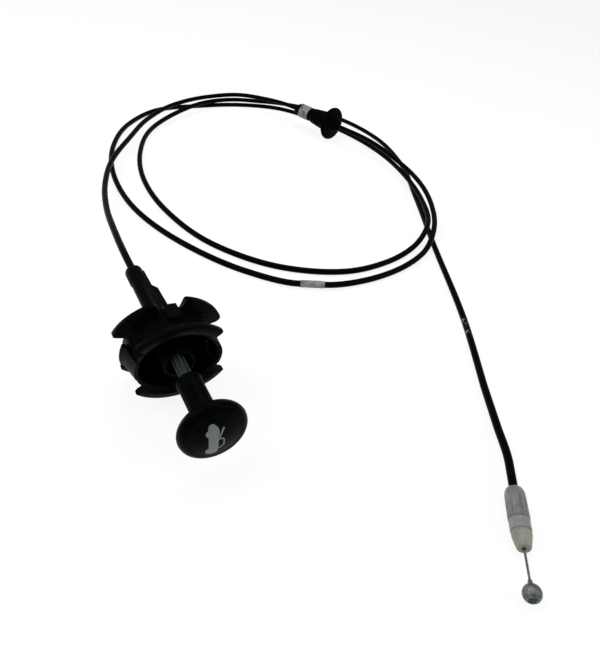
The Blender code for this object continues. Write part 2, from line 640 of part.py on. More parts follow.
def smooth_route():
    """Fine points on the smooth curve through the route's own points.

    Inside a piece that guides it, the curve follows that piece's axis.
    """
    pull = Vector((0, 1, 0))
    along_grommet = heading(GROMMET_HEADING)
    along_label = heading(LABEL_HEADING)
    along_cap = heading(CAP_HEADING)
    grommet_at = Vector((*GROMMET_AT, GROMMET_R + FLOOR_GAP))
    label_at = Vector((*LABEL_AT, LABEL_BORE_R + LABEL_T + FLOOR_GAP))
    label_half = along_label * LABEL_LEN / 2
    conduit_end = Vector((*CAP_AT, CAP_AXIS_Z)) - along_cap * (LINER_BACK + SEAT_GAP)
    route = [
        (Vector((0, REAR_Y - CONDUIT_SEAT, AXIS_Z)), pull),
        (Vector((0, REAR_Y + 14 * MM, AXIS_Z)), pull),
    ]
    route += [(Vector(point) * MM, None) for point in ROUTE_TO_GROMMET]
    route.append((grommet_at - along_grommet * BOOT_LEN, along_grommet))
    route.append((grommet_at + along_grommet * (NOSE_LEN + GROMMET_T / 2), along_grommet))
    route += [(Vector(point) * MM, None) for point in ROUTE_TO_LABEL]
    route.append((label_at - label_half, along_label))
    route.append((label_at + label_half, along_label))
    route += [(Vector(point) * MM, None) for point in ROUTE_TO_CAP]
    route.append((conduit_end, along_cap))

    directions = []
    for i, (point, fixed) in enumerate(route):
        if fixed:
            directions.append(fixed)
            continue
        before = point - route[i - 1][0]
        after = route[i + 1][0] - point
        directions.append((before.normalized() * after.length + after.normalized() * before.length)
                          / (before.length + after.length))
    fine = []
    guided = []
    for i in range(len(route) - 1):
        if route[i][1]:
            guided.append(len(fine))
        start = route[i][0]
        end = route[i + 1][0]
        span = (end - start).length
        pieces = max(round(span / (2 * MM)), 1)
        for k in range(pieces):
            t = k / pieces
            fine.append(
                (2 * t ** 3 - 3 * t ** 2 + 1) * start + (t ** 3 - 2 * t ** 2 + t) * span * directions[i]
                + (3 * t ** 2 - 2 * t ** 3) * end + (t ** 3 - t ** 2) * span * directions[i + 1]
            )
    guided.append(len(fine))
    fine.append(route[-1][0])
    floor = CONDUIT_R + FLOOR_GAP
    return [(p.x, p.y, max(p.z, floor)) for p in fine], guided


def tube_points(fine, guided, count):
    """Picks points off the fine curve, closer together where it bends more.

    The guided points are always among them, so the tube runs straight through what guides it.
    """
    curve = np.array(fine)
    steps = np.diff(curve, axis=0)
    lengths = np.linalg.norm(steps, axis=1)
    turns = np.zeros(len(lengths))
    unit = steps / lengths[:, None]
    turns[1:] = np.linalg.norm(np.diff(unit, axis=0), axis=1)
    spread = np.convolve(turns, np.ones(15) / 15, "same")
    weight = np.concatenate(([0], np.cumsum(lengths + 0.06 * spread)))
    picks = [guided[0]]
    for first, last in zip(guided, guided[1:]):
        share = (weight[last] - weight[first]) / weight[-1]
        pieces = max(int(share * count), 1)
        for w in np.linspace(weight[first], weight[last], pieces + 1)[1:]:
            picks.append(int(np.abs(weight - w).argmin()))
    return [fine[i] for i in picks]


def conduit(mat):
    """The free conduit as a plain tube, and its hollow end, which the end cap grips."""
    fine, guided = smooth_route()
    points = tube_points(fine, guided, TUBE_POINTS)
    curve = bpy.data.curves.new("conduit", "CURVE")
    curve.dimensions = "3D"
    curve.bevel_depth = CONDUIT_R
    curve.bevel_resolution = 3
    curve.use_fill_caps = True
    spline = curve.splines.new("POLY")
    spline.points.add(len(points) - 1)
    for target, point in zip(spline.points, points):
        target.co = (*point, 1)
    spline.use_smooth = True
    curve.materials.append(mat)
    add_object("conduit", curve)
    end = turned("conduit_end", [
        (-LINER_BACK, WIRE_HOLE_R), (-LINER_BACK, CONDUIT_R), (CAP_SOCKET, CONDUIT_R),
        (CAP_SOCKET, WIRE_HOLE_R),
    ], 20, ring=True)
    finish(end, mat, (*CAP_AT, CAP_AXIS_Z), CAP_HEADING)


def main():
    for obj in list(bpy.data.objects):
        bpy.data.objects.remove(obj)
    black_nylon = material("black_nylon", (0.018, 0.02, 0.02), 0.42)
    knob_black = material("knob_black", (0.012, 0.013, 0.013), 0.3)
    grey_nylon = material("grey_nylon", (0.42, 0.44, 0.43), 0.45)
    jacket = material("jacket_black", (0.015, 0.016, 0.017), 0.38)
    rubber = material("rubber_black", (0.012, 0.012, 0.013), 0.7)
    tape = material("tape_grey", (0.55, 0.56, 0.56), 0.6)
    paper = material("sticker_white", (0.72, 0.73, 0.75), 0.55)
    frosted = material("nylon_frosted", (0.55, 0.57, 0.56), 0.4)
    ring_white = material("nylon_white", (0.68, 0.69, 0.67), 0.42)
    natural = material("nylon_natural", (0.66, 0.67, 0.6), 0.38)
    steel = material("steel", (0.45, 0.45, 0.46), 0.35, 1.0)
    zinc = material("zinc_cast", (0.38, 0.39, 0.4), 0.45, 1.0)

    pull = add_object("pull_axis", None)
    pull.location = ORIGIN_OF_PULL
    slider = add_object("knob_slide", None)
    slider.location = ORIGIN_OF_PULL

    housing(black_nylon)
    knob(knob_black, slider)
    stem(black_nylon, slider)
    pull_shaft(grey_nylon, slider)
    tube_end_pieces(steel, zinc, steel, pull, slider)
    grommet(rubber, tape)
    label(paper)
    end_cap(frosted, ring_white, natural)
    ball_and_wire(steel, zinc)
    conduit(jacket)
    print("pull axis height", round(AXIS_Z / MM, 2), "mm; overall", round(BODY_LEN / MM, 1), "mm")


main()
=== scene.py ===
# %% [markdown]
# # A hood release cable, dressed for its portrait
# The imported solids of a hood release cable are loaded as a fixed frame. Each one that shows is
# then given a finished skin: moulded nylon, rubber, tape, zinc and stranded steel. The cells can
# be read in order, and each piece is explained before it is made. Turned and moulded pieces start
# from a primitive and are shaped with the operators that a person would use by hand. The cord, the
# strands, the sign and the wrapped sheets are drawn point by point, because they follow a line.

# %% Load the frame
from contextlib import contextmanager
from math import asin, cos, degrees, pi, radians, sin

import bpy
import numpy as np
from mathutils import Matrix, Vector


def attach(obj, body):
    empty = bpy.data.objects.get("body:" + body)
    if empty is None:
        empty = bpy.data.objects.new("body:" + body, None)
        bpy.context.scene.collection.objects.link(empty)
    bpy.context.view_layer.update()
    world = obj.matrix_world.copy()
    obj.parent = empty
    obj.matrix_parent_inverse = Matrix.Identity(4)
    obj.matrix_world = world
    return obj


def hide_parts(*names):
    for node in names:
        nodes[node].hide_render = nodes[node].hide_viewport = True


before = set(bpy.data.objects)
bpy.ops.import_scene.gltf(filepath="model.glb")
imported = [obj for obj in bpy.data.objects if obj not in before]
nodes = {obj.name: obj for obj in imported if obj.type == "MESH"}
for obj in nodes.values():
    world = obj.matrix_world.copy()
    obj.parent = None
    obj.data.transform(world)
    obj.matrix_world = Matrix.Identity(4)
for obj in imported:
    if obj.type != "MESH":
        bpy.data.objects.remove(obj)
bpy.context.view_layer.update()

MM = 0.001
print("nodes", sorted(nodes))

# %% [markdown]
# ## Where things are
# The pull axis is level and runs towards -Y. A *station* is a distance along a turned piece's own
# axis, which is local -Y, as in the part's source. These few places are repeated from that source,
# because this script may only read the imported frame.

# %% Places repeated from the source
REAR_Y = 78 * MM
AXIS_Z = (nodes["knob"].bound_box[0][2] + nodes["knob"].bound_box[1][2]) / 2
PULL = Vector((0, REAR_Y, AXIS_Z))
S_FACE = 156 * MM
S_KNOB_BACK = 143 * MM
S_STEM = 112.5 * MM
CONDUIT_R = 2.5 * MM
WIRE_HOLE_R = 1.1 * MM
FLOOR_GAP = 0.1 * MM
GROMMET_AT = Vector((314.5, 357.7, 19.1)) * MM
GROMMET_TURN = radians(20.7)
BOOT_LEN = 58.5 * MM
LABEL_AT = Vector((136.3, 68.7, 3.4)) * MM
LABEL_TURN = radians(-109.8)
LABEL_LEN = 19 * MM
CAP_AT = Vector((148.4, -146.4, 5.95)) * MM
CAP_TURN = radians(-35.4)
CAP_SOCKET = 8.3 * MM
LINER_BACK = 17.5 * MM
print("pull axis height", round(AXIS_Z / MM, 2), "mm")

# %% [markdown]
# ## The camera
# The photograph looks down at the knob from the front left, with a focal length of 600 of its own
# pixels. Blender lays its 36 mm frame along the picture's long side of 656 pixels, so the lens is
# a little under 33 mm. The camera is set from its place, the direction it looks in and the one
# that is up in the picture, because three such vectors are easy to measure and hard to get wrong.

# %% Camera
CAMERA_AT = Vector((-0.083353, -0.261459, 0.257890))
LOOKS = Vector((0.436720, 0.668651, -0.601815))
PICTURE_UP = Vector((0.178707, 0.591166, 0.786502))
FOCAL = 600
LONG_SIDE = 656
SENSOR = 36


def new_object(name, data):
    """Puts a mesh, a lamp or a camera into the scene."""
    made = bpy.data.objects.new(name, data)
    bpy.context.scene.collection.objects.link(made)
    return made


camera_data = bpy.data.cameras.new("camera")
camera = new_object("camera", camera_data)
right = LOOKS.cross(PICTURE_UP)
turn = Matrix((right, PICTURE_UP, -LOOKS)).transposed().to_4x4()
camera.matrix_world = Matrix.Translation(CAMERA_AT) @ turn
camera_data.sensor_width = SENSOR
camera_data.lens = FOCAL / LONG_SIDE * SENSOR
camera_data.clip_start = 0.01
bpy.context.scene.camera = camera
print("camera is", round((PULL - CAMERA_AT).length, 3), "m from the pull axis")

# %% [markdown]
# ## The conduit's route
# A conduit is a stiff tube of wound steel under a plastic jacket, so it lies in wide loops and
# rises in long low humps where it crosses itself. A few listed points carry its way. A
# smooth curve goes through them and runs straight through every piece that guides the conduit: the
# guide tube, the grommet, the sticker and the end cap.

# %% Route points, in millimetres
ROUTE_TO_GROMMET = [
    (3, 144, 26.5), (9, 196, 18), (20, 251, 12), (40, 310, 8.8), (70, 363, 8.4), (107, 420, 8.4),
    (154, 466, 8.6), (204, 487, 10), (241, 481, 14), (272, 453, 17),
]
ROUTE_TO_LABEL = [
    (337, 307, 17), (345, 258, 13), (341, 211, 11), (319, 155, 9.8), (289, 112, 8.6), (261, 87, 5),
    (227, 72, 2.6), (181, 63, 2.5),
]
ROUTE_TO_CAP = [
    (95, 99, 2.5), (61, 150, 2.5), (38, 218, 2.5), (36, 284, 2.5), (53, 360, 2.5), (86, 422, 2.5),
    (134, 465, 2.5), (188, 475, 2.5), (244, 476, 2.5), (292, 460, 2.5), (327, 414, 2.5),
    (346, 359, 3.2), (349, 302, 5.6), (340, 242, 8.3), (320, 174, 8.2), (291, 124, 8.2),
    (261, 100, 4.6), (225, 85, 2.6), (175, 79, 2.5), (125, 98, 2.5), (84, 144, 2.5), (63, 212, 2.5),
    (62, 280, 2.5), (76, 341, 2.5), (107, 404, 3.2), (150, 442, 7.4), (194, 470, 8.6),
    (236, 484, 6.8), (276, 488, 2.8), (326, 465, 2.5), (365, 411, 2.5), (377, 346, 2.5),
    (364, 275, 2.5), (325, 188, 2.5), (279, 95, 2.5), (228, -11, 2.5), (194, -71, 2.6),
    (175, -104, 4.4),
]

# %% Conduit line
LINE_STEP = 2 * MM
GUIDE_IN = 5 * MM
GUIDE_OUT = 14 * MM
GROMMET_NOSE = 10 * MM
CAP_LEAD = 0.3 * MM


def heading(angle):
    """Level direction of a piece's local -Y after it is turned by angle about Z."""
    return Vector((sin(angle), -cos(angle), 0))


def loose(route):
    """Points of a stretch in which the conduit chooses its own direction."""
    return [(Vector(point) * MM, None) for point in route]


def conduit_stops():
    """Places that the conduit goes through, each with its direction where that is fixed."""
    pull = Vector((0, 1, 0))
    through_grommet = heading(GROMMET_TURN)
    through_label = heading(LABEL_TURN)
    into_cap = heading(CAP_TURN)
    half_label = through_label * LABEL_LEN / 2
    return [
        (Vector((0, REAR_Y - GUIDE_IN, AXIS_Z)), pull),
        (Vector((0, REAR_Y + GUIDE_OUT, AXIS_Z)), pull),
        *loose(ROUTE_TO_GROMMET),
        (GROMMET_AT - through_grommet * BOOT_LEN, through_grommet),
        (GROMMET_AT + through_grommet * GROMMET_NOSE, through_grommet),
        *loose(ROUTE_TO_LABEL),
        (LABEL_AT - half_label, through_label),
        (LABEL_AT + half_label, through_label),
        *loose(ROUTE_TO_CAP),
        (CAP_AT - into_cap * (LINER_BACK + CAP_LEAD), into_cap),
        (CAP_AT + into_cap * CAP_SOCKET, into_cap),
    ]


def conduit_ways(stops):
    """Direction at each stop: the fixed one, or a mean of those before and after it."""
    ways = []
    for i, (point, fixed) in enumerate(stops):
        if fixed is not None:
            ways.append(fixed)
            continue
        before = point - stops[i - 1][0]
        after = stops[i + 1][0] - point
        both = before.normalized() * after.length + after.normalized() * before.length
        ways.append(both / (before.length + after.length))
    return ways


def conduit_line():
    """Points about two millimetres apart down the middle of the conduit, into the end cap."""
    stops = conduit_stops()
    ways = conduit_ways(stops)
    line = []
    for i in range(len(stops) - 1):
        start, end = stops[i][0], stops[i + 1][0]
        span = (end - start).length
        pieces = max(round(span / LINE_STEP), 1)
        for k in range(pieces):
            t = k / pieces
            line.append(
                (2 * t ** 3 - 3 * t ** 2 + 1) * start + (t ** 3 - 2 * t ** 2 + t) * span * ways[i]
                + (3 * t ** 2 - 2 * t ** 3) * end + (t ** 3 - t ** 2) * span * ways[i + 1]
            )
    line.append(stops[-1][0])
    floor = CONDUIT_R + FLOOR_GAP
    return [Vector((p.x, p.y, max(p.z, floor))) for p in line]


LINE = conduit_line()

# %% [markdown]
# ## The conduit
# The jacket is drawn as rings of 20 corners along the line, each ring carried over from the last
# without twisting. A UV map says how many metres along and what share of the way round each corner
# is, so the faint die lines of the jacket follow every bend. The far end is hollow, as the real
# liner is, because the inner wire slides in it. The helpers that come first select one piece
# alone, open it in edit mode for a few steps, and draw one from corners and faces.

# %% Handling a piece
def only(piece):
    """Makes a piece the only one that operators act on."""
    if bpy.context.object and bpy.context.object.mode != "OBJECT":
        bpy.ops.object.mode_set(mode="OBJECT")
    bpy.ops.object.select_all(action="DESELECT")
    bpy.context.view_layer.objects.active = piece
    piece.select_set(True)


@contextmanager
def edit_mode(piece):
    """Opens a piece in edit mode with all of it selected, as long as a with block lasts."""
    only(piece)
    bpy.ops.object.mode_set(mode="EDIT")
    bpy.ops.mesh.select_all(action="SELECT")
    yield
    bpy.ops.object.mode_set(mode="OBJECT")


def drawn_piece(name, verts, faces):
    """New piece from lists of corners and faces."""
    mesh = bpy.data.meshes.new(name)
    mesh.from_pydata(verts, [], faces)
    return new_object(name, mesh)


def tube_faces(rings, sides):
    """Faces of a tube between rings of corners, closed at both ends."""
    faces = []
    for i in range(rings - 1):
        for k in range(sides):
            a, b = i * sides + k, i * sides + (k + 1) % sides
            faces.append((a, b, b + sides, a + sides))
    faces.append(tuple(range(sides))[::-1])
    faces.append(tuple((rings - 1) * sides + k for k in range(sides)))
    return faces


def triangles(piece):
    """How many triangles a piece's faces come to."""
    return sum(len(polygon.vertices) - 2 for polygon in piece.data.polygons)


# %% Conduit mesh
CONDUIT_SIDES = 20


def ring_corners(centre, side, up, radius):
    """Corners of one ring in the plane of two directions."""
    corners = []
    for k in range(CONDUIT_SIDES):
        angle = 2 * pi * k / CONDUIT_SIDES
        corners.append(centre + radius * (cos(angle) * side + sin(angle) * up))
    return corners


def conduit_rings():
    """Rings along the line, each with its distance, and two more down the hollow end."""
    rings = []
    side = Vector((1, 0, 0))
    travelled = 0.0
    for i, point in enumerate(LINE):
        way = (LINE[min(i + 1, len(LINE) - 1)] - LINE[max(i - 1, 0)]).normalized()
        side = (side - way * side.dot(way)).normalized()
        if i:
            travelled += (point - LINE[i - 1]).length
        rings.append((ring_corners(point, side, way.cross(side), CONDUIT_R), travelled))
    end, into = LINE[-1], heading(CAP_TURN)
    inner = end - into * (CAP_SOCKET + LINER_BACK)
    for centre in (end, inner):
        rings.append((ring_corners(centre, side, into.cross(side), WIRE_HOLE_R), travelled))
    return rings


def conduit_jacket():
    """The jacket as one closed tube with its UV map."""
    rings = conduit_rings()
    verts = [corner for corners, _ in rings for corner in corners]
    piece = drawn_piece("conduit_jacket", verts, tube_faces(len(rings), CONDUIT_SIDES))
    mesh = piece.data
    uv = mesh.uv_layers.new(name="along_and_round")
    for polygon in mesh.polygons:
        corners = [mesh.loops[i].vertex_index % CONDUIT_SIDES for i in polygon.loop_indices]
        wraps = max(corners) - min(corners) > CONDUIT_SIDES / 2
        for loop, corner in zip(polygon.loop_indices, corners):
            _, distance = rings[mesh.loops[loop].vertex_index // CONDUIT_SIDES]
            share_round = 1.0 if wraps and corner == 0 else corner / CONDUIT_SIDES
            uv.data[loop].uv = (distance, share_round)
    with edit_mode(piece):
        bpy.ops.mesh.normals_make_consistent(inside=False)
    bpy.ops.object.shade_smooth_by_angle(angle=radians(50))
    return piece


jacket_piece = conduit_jacket()
print("conduit triangles", triangles(jacket_piece))

# %% [markdown]
# ## Tools for the bench
# Most of this cable is turned or moulded round an axis, so one helper does by hand-like steps what
# a lathe does. It adds a circle, extrudes its edge along the axis, scales the new edge to the next
# radius, and goes on down a list of stations and radii. Another helper seats the finished piece,
# and a third rounds its sharp edges with a small bevel, because real mouldings have no knife edges.

# %% Primitives
POLE_R = 0.01
WELD = 0.03 * MM


def lathe(name, profile, sides=64, ring=False):
    """Turned piece along local -Y, from (station, radius) points in millimetres.

    A ring's profile runs round its section and closes on itself. Any other profile starts and
    ends on the axis, where its edge is so small that it is merged to a pole.
    """
    points = [(s * MM, max(r, POLE_R) * MM) for s, r in profile]
    if ring:
        points.append(points[0])
    bpy.ops.object.select_all(action="DESELECT")
    station, radius = points[0]
    bpy.ops.mesh.primitive_circle_add(
        vertices=sides, radius=radius, location=(0, -station, 0), rotation=(pi / 2, 0, 0))
    piece = bpy.context.object
    piece.name = name
    bpy.ops.object.transform_apply(location=True, rotation=True)
    with edit_mode(piece):
        for next_station, next_radius in points[1:]:
            bpy.ops.mesh.extrude_region_move(
                TRANSFORM_OT_translate={"value": (0, station - next_station, 0)})
            grow = next_radius / radius
            bpy.ops.transform.resize(
                value=(grow, 1, grow), center_override=(0, -next_station, 0))
            station, radius = next_station, next_radius
        bpy.ops.mesh.select_all(action="SELECT")
        bpy.ops.mesh.remove_doubles(threshold=WELD)
        bpy.ops.mesh.normals_make_consistent(inside=False)
    return piece


def rod(name, start, end, radius, sides):
    """Plain round bar from one station to another."""
    return lathe(name, [(start, 0), (start, radius), (end, radius), (end, 0)], sides)


def box_piece(name, size, centre):
    """Block of a size, with its middle at a local place, both in millimetres."""
    bpy.ops.object.select_all(action="DESELECT")
    bpy.ops.mesh.primitive_cube_add(size=1, location=[c * MM for c in centre])
    piece = bpy.context.object
    piece.name = name
    piece.scale = [s * MM for s in size]
    bpy.ops.object.transform_apply(location=True, rotation=True, scale=True)
    return piece


# %% Shaping and seating
BEVEL_STEPS = 2
SLIVER = 0.002 * MM


def turn_about_axis(piece, angle, lift=0):
    """Lifts a piece by millimetres and turns it clockwise about the local Y axis."""
    piece.data.transform(Matrix.Rotation(radians(angle), 4, "Y")
                         @ Matrix.Translation((0, 0, lift * MM)))
    return piece


def without_slivers(piece):
    """Dissolves the faces without area that cutting and bevelling leave."""
    with edit_mode(piece):
        bpy.ops.mesh.dissolve_degenerate(threshold=SLIVER)
    return piece


def soften(piece, width, limit=35):
    """Rounds the edges of a piece that are sharper than a limit, by a width in millimetres."""
    only(piece)
    bevel = piece.modifiers.new("soft edges", "BEVEL")
    bevel.width = width * MM
    bevel.segments = BEVEL_STEPS
    bevel.limit_method = "ANGLE"
    bevel.angle_limit = radians(limit)
    bevel.use_clamp_overlap = True
    bpy.ops.object.modifier_apply(modifier=bevel.name)
    return without_slivers(piece)


def thicken(piece, thickness, offset=0):
    """Gives a sheet a thickness in millimetres, half to each side or, at offset 1, outwards."""
    only(piece)
    solid = piece.modifiers.new("thickness", "SOLIDIFY")
    solid.thickness = thickness * MM
    solid.offset = offset
    bpy.ops.object.modifier_apply(modifier=solid.name)
    return piece


def carve(piece, cutter):
    """Cuts the second piece out of the first one and throws it away."""
    only(piece)
    cut = piece.modifiers.new("cut", "BOOLEAN")
    cut.operation = "DIFFERENCE"
    cut.solver = "EXACT"
    cut.object = cutter
    bpy.ops.object.modifier_apply(modifier=cut.name)
    bpy.data.objects.remove(cutter)
    return piece


def joined(name, pieces):
    """Makes one object of several."""
    only(pieces[0])
    for other in pieces[1:]:
        other.select_set(True)
    bpy.ops.object.join()
    pieces[0].name = name
    return pieces[0]


def seat(piece, at, angle=0.0, smooth=40):
    """Puts a piece at its place in its mesh, and shades it smooth up to an angle."""
    only(piece)
    piece.data.transform(Matrix.Translation(at) @ Matrix.Rotation(angle, 4, "Z"))
    bpy.ops.object.shade_smooth_by_angle(angle=radians(smooth))
    return piece


# %% [markdown]
# ## Finishes
# No surface of a used cable is one flat colour. Each finish below starts from the colour that the
# real one shows and adds what the eye expects at its own scale: spark-eroded grain on nylon,
# a bloom on rubber, fibres in paper, pits in cast zinc. The patterns read Object coordinates, in
# metres, so they keep their size and stay on the piece when it moves. Where a pattern has to follow
# a bend or a wrap, as on the jacket, the tape and the sticker, it reads a UV map.

# %% Finish helpers
# places of a Mix node's colour sockets
MIX_UNDER, MIX_OVER, MIX_RESULT = 6, 7, 2


def new_finish(name, metallic=0.0):
    """New material with its tree, its shader, and its Object and UV coordinates."""
    material = bpy.data.materials.new(name)
    material.use_nodes = True
    tree = material.node_tree
    shader = tree.nodes["Principled BSDF"]
    shader.inputs["Metallic"].default_value = metallic
    coordinates = tree.nodes.new("ShaderNodeTexCoord")
    return material, tree, shader, coordinates.outputs["Object"], coordinates.outputs["UV"]


def feed(tree, socket, value):
    """Links a socket to another one, or sets it to a plain number, vector or colour."""
    if isinstance(value, bpy.types.NodeSocket):
        tree.links.new(value, socket)
    elif socket.type == "RGBA":
        socket.default_value = (*value, 1)
    else:
        socket.default_value = value


def feed_all(tree, node, **sockets):
    """Feeds a node's sockets by their names, in which _ stands for a space."""
    for name, value in sockets.items():
        feed(tree, node.inputs[name.replace("_", " ")], value)
    return node


def add_node(tree, kind, **sockets):
    """Adds a node and feeds its sockets."""
    return feed_all(tree, tree.nodes.new("ShaderNode" + kind), **sockets)


def noise(tree, source, scale, detail=3.0, distortion=0.0, stretch=(1, 1, 1)):
    """Noise of a scale in cycles per metre on a coordinate, stretched as asked."""
    place = add_node(tree, "Mapping", Vector=source, Scale=stretch).outputs["Vector"]
    texture = add_node(
        tree, "TexNoise", Vector=place, Scale=scale, Detail=detail, Distortion=distortion)
    return texture.outputs["Fac"]


def ramp(tree, factor, start, first, end, last):
    """Goes from a first colour at the start of a noise to a last one at its end."""
    node = add_node(tree, "ValToRGB", Fac=factor)
    stops = zip(node.color_ramp.elements, (start, end), (first, last))
    for element, position, colour in stops:
        element.position = position
        element.color = (*colour, 1)
    return node.outputs["Color"]


def mask(tree, factor, start, end, most):
    """Nought up to the start of a noise, rising to a most at its end."""
    return ramp(tree, factor, start, (0, 0, 0), end, (most,) * 3)


def spread(tree, factor, low, high, start=0.3, end=0.7):
    """Maps a noise to a range of values."""
    return add_node(
        tree, "MapRange", Value=factor, From_Min=start, From_Max=end, To_Min=low, To_Max=high)


def maths(tree, operation, *values):
    """Works out one operation on sockets or plain numbers."""
    node = tree.nodes.new("ShaderNodeMath")
    node.operation = operation
    for socket, value in zip(node.inputs, values):
        feed(tree, socket, value)
    return node.outputs["Value"]


def mixed(tree, factor, under, over):
    """Lays one colour over another by a factor."""
    node = tree.nodes.new("ShaderNodeMix")
    node.data_type = "RGBA"
    feed_all(tree, node, Factor=factor)
    feed(tree, node.inputs[MIX_UNDER], under)
    feed(tree, node.inputs[MIX_OVER], over)
    return node.outputs[MIX_RESULT]


def coat(tree, shader, colour, marks, rough, heights):
    """Gives a shader its colour, a range of roughness, and bumps with depths in millimetres."""
    gloss = spread(tree, marks, *rough).outputs["Result"]
    feed_all(tree, shader, Base_Color=colour, Roughness=gloss)
    normal = shader.inputs["Normal"]
    for height, depth in reversed(heights):
        bump = add_node(tree, "Bump", Strength=1.0, Distance=depth * MM, Height=height)
        tree.links.new(bump.outputs["Normal"], normal)
        normal = bump.inputs["Normal"]


# %% Moulded plastic and rubber
STREAK_STRETCH = 9
DUST = (0.35, 0.35, 0.34)
STREAK = (0.34, 0.35, 0.34)
GLOW_REACH = (1.0, 0.95, 0.8)
GLOW_DEPTH = 1.6 * MM


def along_cap(tree, place):
    """Coordinates in the end cap's own frame, drawn out along its axis."""
    own = add_node(tree, "Mapping", Vector=place, Location=CAP_AT, Rotation=(0, 0, CAP_TURN),
                   Scale=(1, STREAK_STRETCH, 1))
    own.vector_type = "TEXTURE"
    return own.outputs["Vector"]


def moulded(name, dark, light, rough, grain, depth, patches=55, dust=0.0, streaks=0.0,
            glow=0.0, gloss=0.5, shine=1.0):
    """Moulded plastic: fine grain, slow changes of tone, and handling marks in the gloss."""
    material, tree, shader, place, _ = new_finish(name)
    slow = noise(tree, place, patches, 4, 0.6)
    colour = ramp(tree, slow, 0.3, dark, 0.7, light)
    marks = noise(tree, place, 420, 6, 1.2)
    if dust:
        specks = mask(tree, noise(tree, place, 2300, 2), 0.68, 0.78, dust)
        colour = mixed(tree, specks, colour, DUST)
    if streaks:
        drawn = noise(tree, along_cap(tree, place), 480, 2)
        colour = mixed(tree, mask(tree, drawn, 0.42, 0.62, streaks), colour, STREAK)
    fine = noise(tree, place, 1000 / grain, 2)
    coat(tree, shader, colour, marks, rough, [(slow, 0.02), (fine, depth)])
    feed_all(tree, shader, Specular_IOR_Level=gloss, Specular_Tint=(shine,) * 3)
    if glow:
        feed_all(tree, shader, Subsurface_Weight=glow, Subsurface_Radius=GLOW_REACH,
                 Subsurface_Scale=GLOW_DEPTH)
    return material


# %% Black mouldings and the grey shaft
housing_nylon = moulded(
    "housing_nylon", (0.0005, 0.0008, 0.0007), (0.0018, 0.0025, 0.0022), rough=(0.36, 0.5),
    grain=0.35, depth=0.012, dust=0.012, gloss=0.03, shine=0.5)
knob_nylon = moulded(
    "knob_nylon", (0.0006, 0.0008, 0.0007), (0.0016, 0.002, 0.0018), rough=(0.26, 0.36),
    grain=0.5, depth=0.006, dust=0.008, gloss=0.028, shine=0.4)
stem_nylon = moulded(
    "stem_nylon", (0.0008, 0.001, 0.001), (0.0024, 0.0028, 0.0025), rough=(0.36, 0.5),
    grain=0.4, depth=0.008, dust=0.012, gloss=0.03, shine=0.5)
boot_rubber = moulded(
    "boot_rubber", (0.0008, 0.0008, 0.0012), (0.0024, 0.0024, 0.003), rough=(0.5, 0.7),
    grain=0.25, depth=0.014, dust=0.008, gloss=0.022, shine=0.3)
shaft_nylon = moulded(
    "shaft_nylon", (0.06, 0.072, 0.07), (0.13, 0.15, 0.145), rough=(0.35, 0.5),
    grain=0.5, depth=0.01)
print("black and grey finishes made")

# %% The end cap's three nylons
sleeve_nylon = moulded(
    "sleeve_nylon", (0.105, 0.11, 0.106), (0.16, 0.165, 0.158), rough=(0.36, 0.52),
    grain=0.3, depth=0.014, patches=90, streaks=0.42, glow=0.15)
ring_nylon = moulded(
    "ring_nylon", (0.19, 0.195, 0.185), (0.26, 0.265, 0.25), rough=(0.36, 0.5),
    grain=0.35, depth=0.01, patches=90, streaks=0.15, glow=0.15)
tip_nylon = moulded(
    "tip_nylon", (0.22, 0.225, 0.18), (0.3, 0.305, 0.25), rough=(0.32, 0.46),
    grain=0.35, depth=0.01, patches=90, glow=0.2)
print("cap finishes made")

# %% [markdown]
# ### The conduit's jacket
# Extruded nylon comes out of its die with faint lines along it and a soft sheen, and it picks up
# dust and scuffs. Before the end cap its skin is worn to a few pale flecks, which are broken
# patches of noise inside one short stretch of the UV map.

# %% Jacket finish
WORN_FROM, WORN_TO = 3.388, 3.410
WORN_FADE = 0.8


def worn_stretch(tree, along):
    """One inside the worn stretch of the conduit, falling to nought at its ends."""
    half = (WORN_TO - WORN_FROM) / 2
    from_middle = maths(tree, "SUBTRACT", along, (WORN_FROM + WORN_TO) / 2)
    distance = maths(tree, "ABSOLUTE", from_middle)
    stretch = spread(tree, distance, 0, 1, half, half * WORN_FADE)
    stretch.interpolation_type = "SMOOTHSTEP"
    return stretch.outputs["Result"]


def jacket_finish():
    """Black extruded nylon with scuffs, die lines and one worn stretch."""
    material, tree, shader, place, sheet = new_finish("jacket_extruded")
    slow = noise(tree, place, 30, 4, 0.5)
    colour = ramp(tree, slow, 0.3, (0.0008, 0.0009, 0.001), 0.7, (0.0022, 0.0024, 0.0026))
    scuffs = noise(tree, place, 700, 5, 1.5)
    colour = mixed(tree, mask(tree, scuffs, 0.64, 0.8, 0.22), colour, (0.016, 0.016, 0.016))
    along = add_node(tree, "SeparateXYZ", Vector=sheet).outputs["X"]
    flecks = mask(tree, noise(tree, sheet, 1.0, 1, 0, (420, 5, 1)), 0.52, 0.66, 0.6)
    worn = maths(tree, "MULTIPLY", flecks, worn_stretch(tree, along))
    colour = mixed(tree, worn, colour, (0.3, 0.31, 0.3))
    die_lines = noise(tree, sheet, 1.0, 2, 0, (12, 60, 1))
    peel = noise(tree, place, 900, 2)
    coat(tree, shader, colour, scuffs, (0.32, 0.48), [(die_lines, 0.02), (peel, 0.012)])
    feed_all(tree, shader, Specular_IOR_Level=0.03, Specular_Tint=(0.4, 0.4, 0.42))
    return material


jacket = jacket_finish()
print("worn flecks from", WORN_FROM, "to", WORN_TO, "m along")

# %% [markdown]
# ### Metal, paper, tape and paint
# Cast zinc has a dull skin with pits and flow marks, and drawn steel a brighter and finer one.
# Paper shows fibres, and cloth-backed tape a weave under its film. The pad print on the knob is a
# thin flat paint that lets a little grain through.

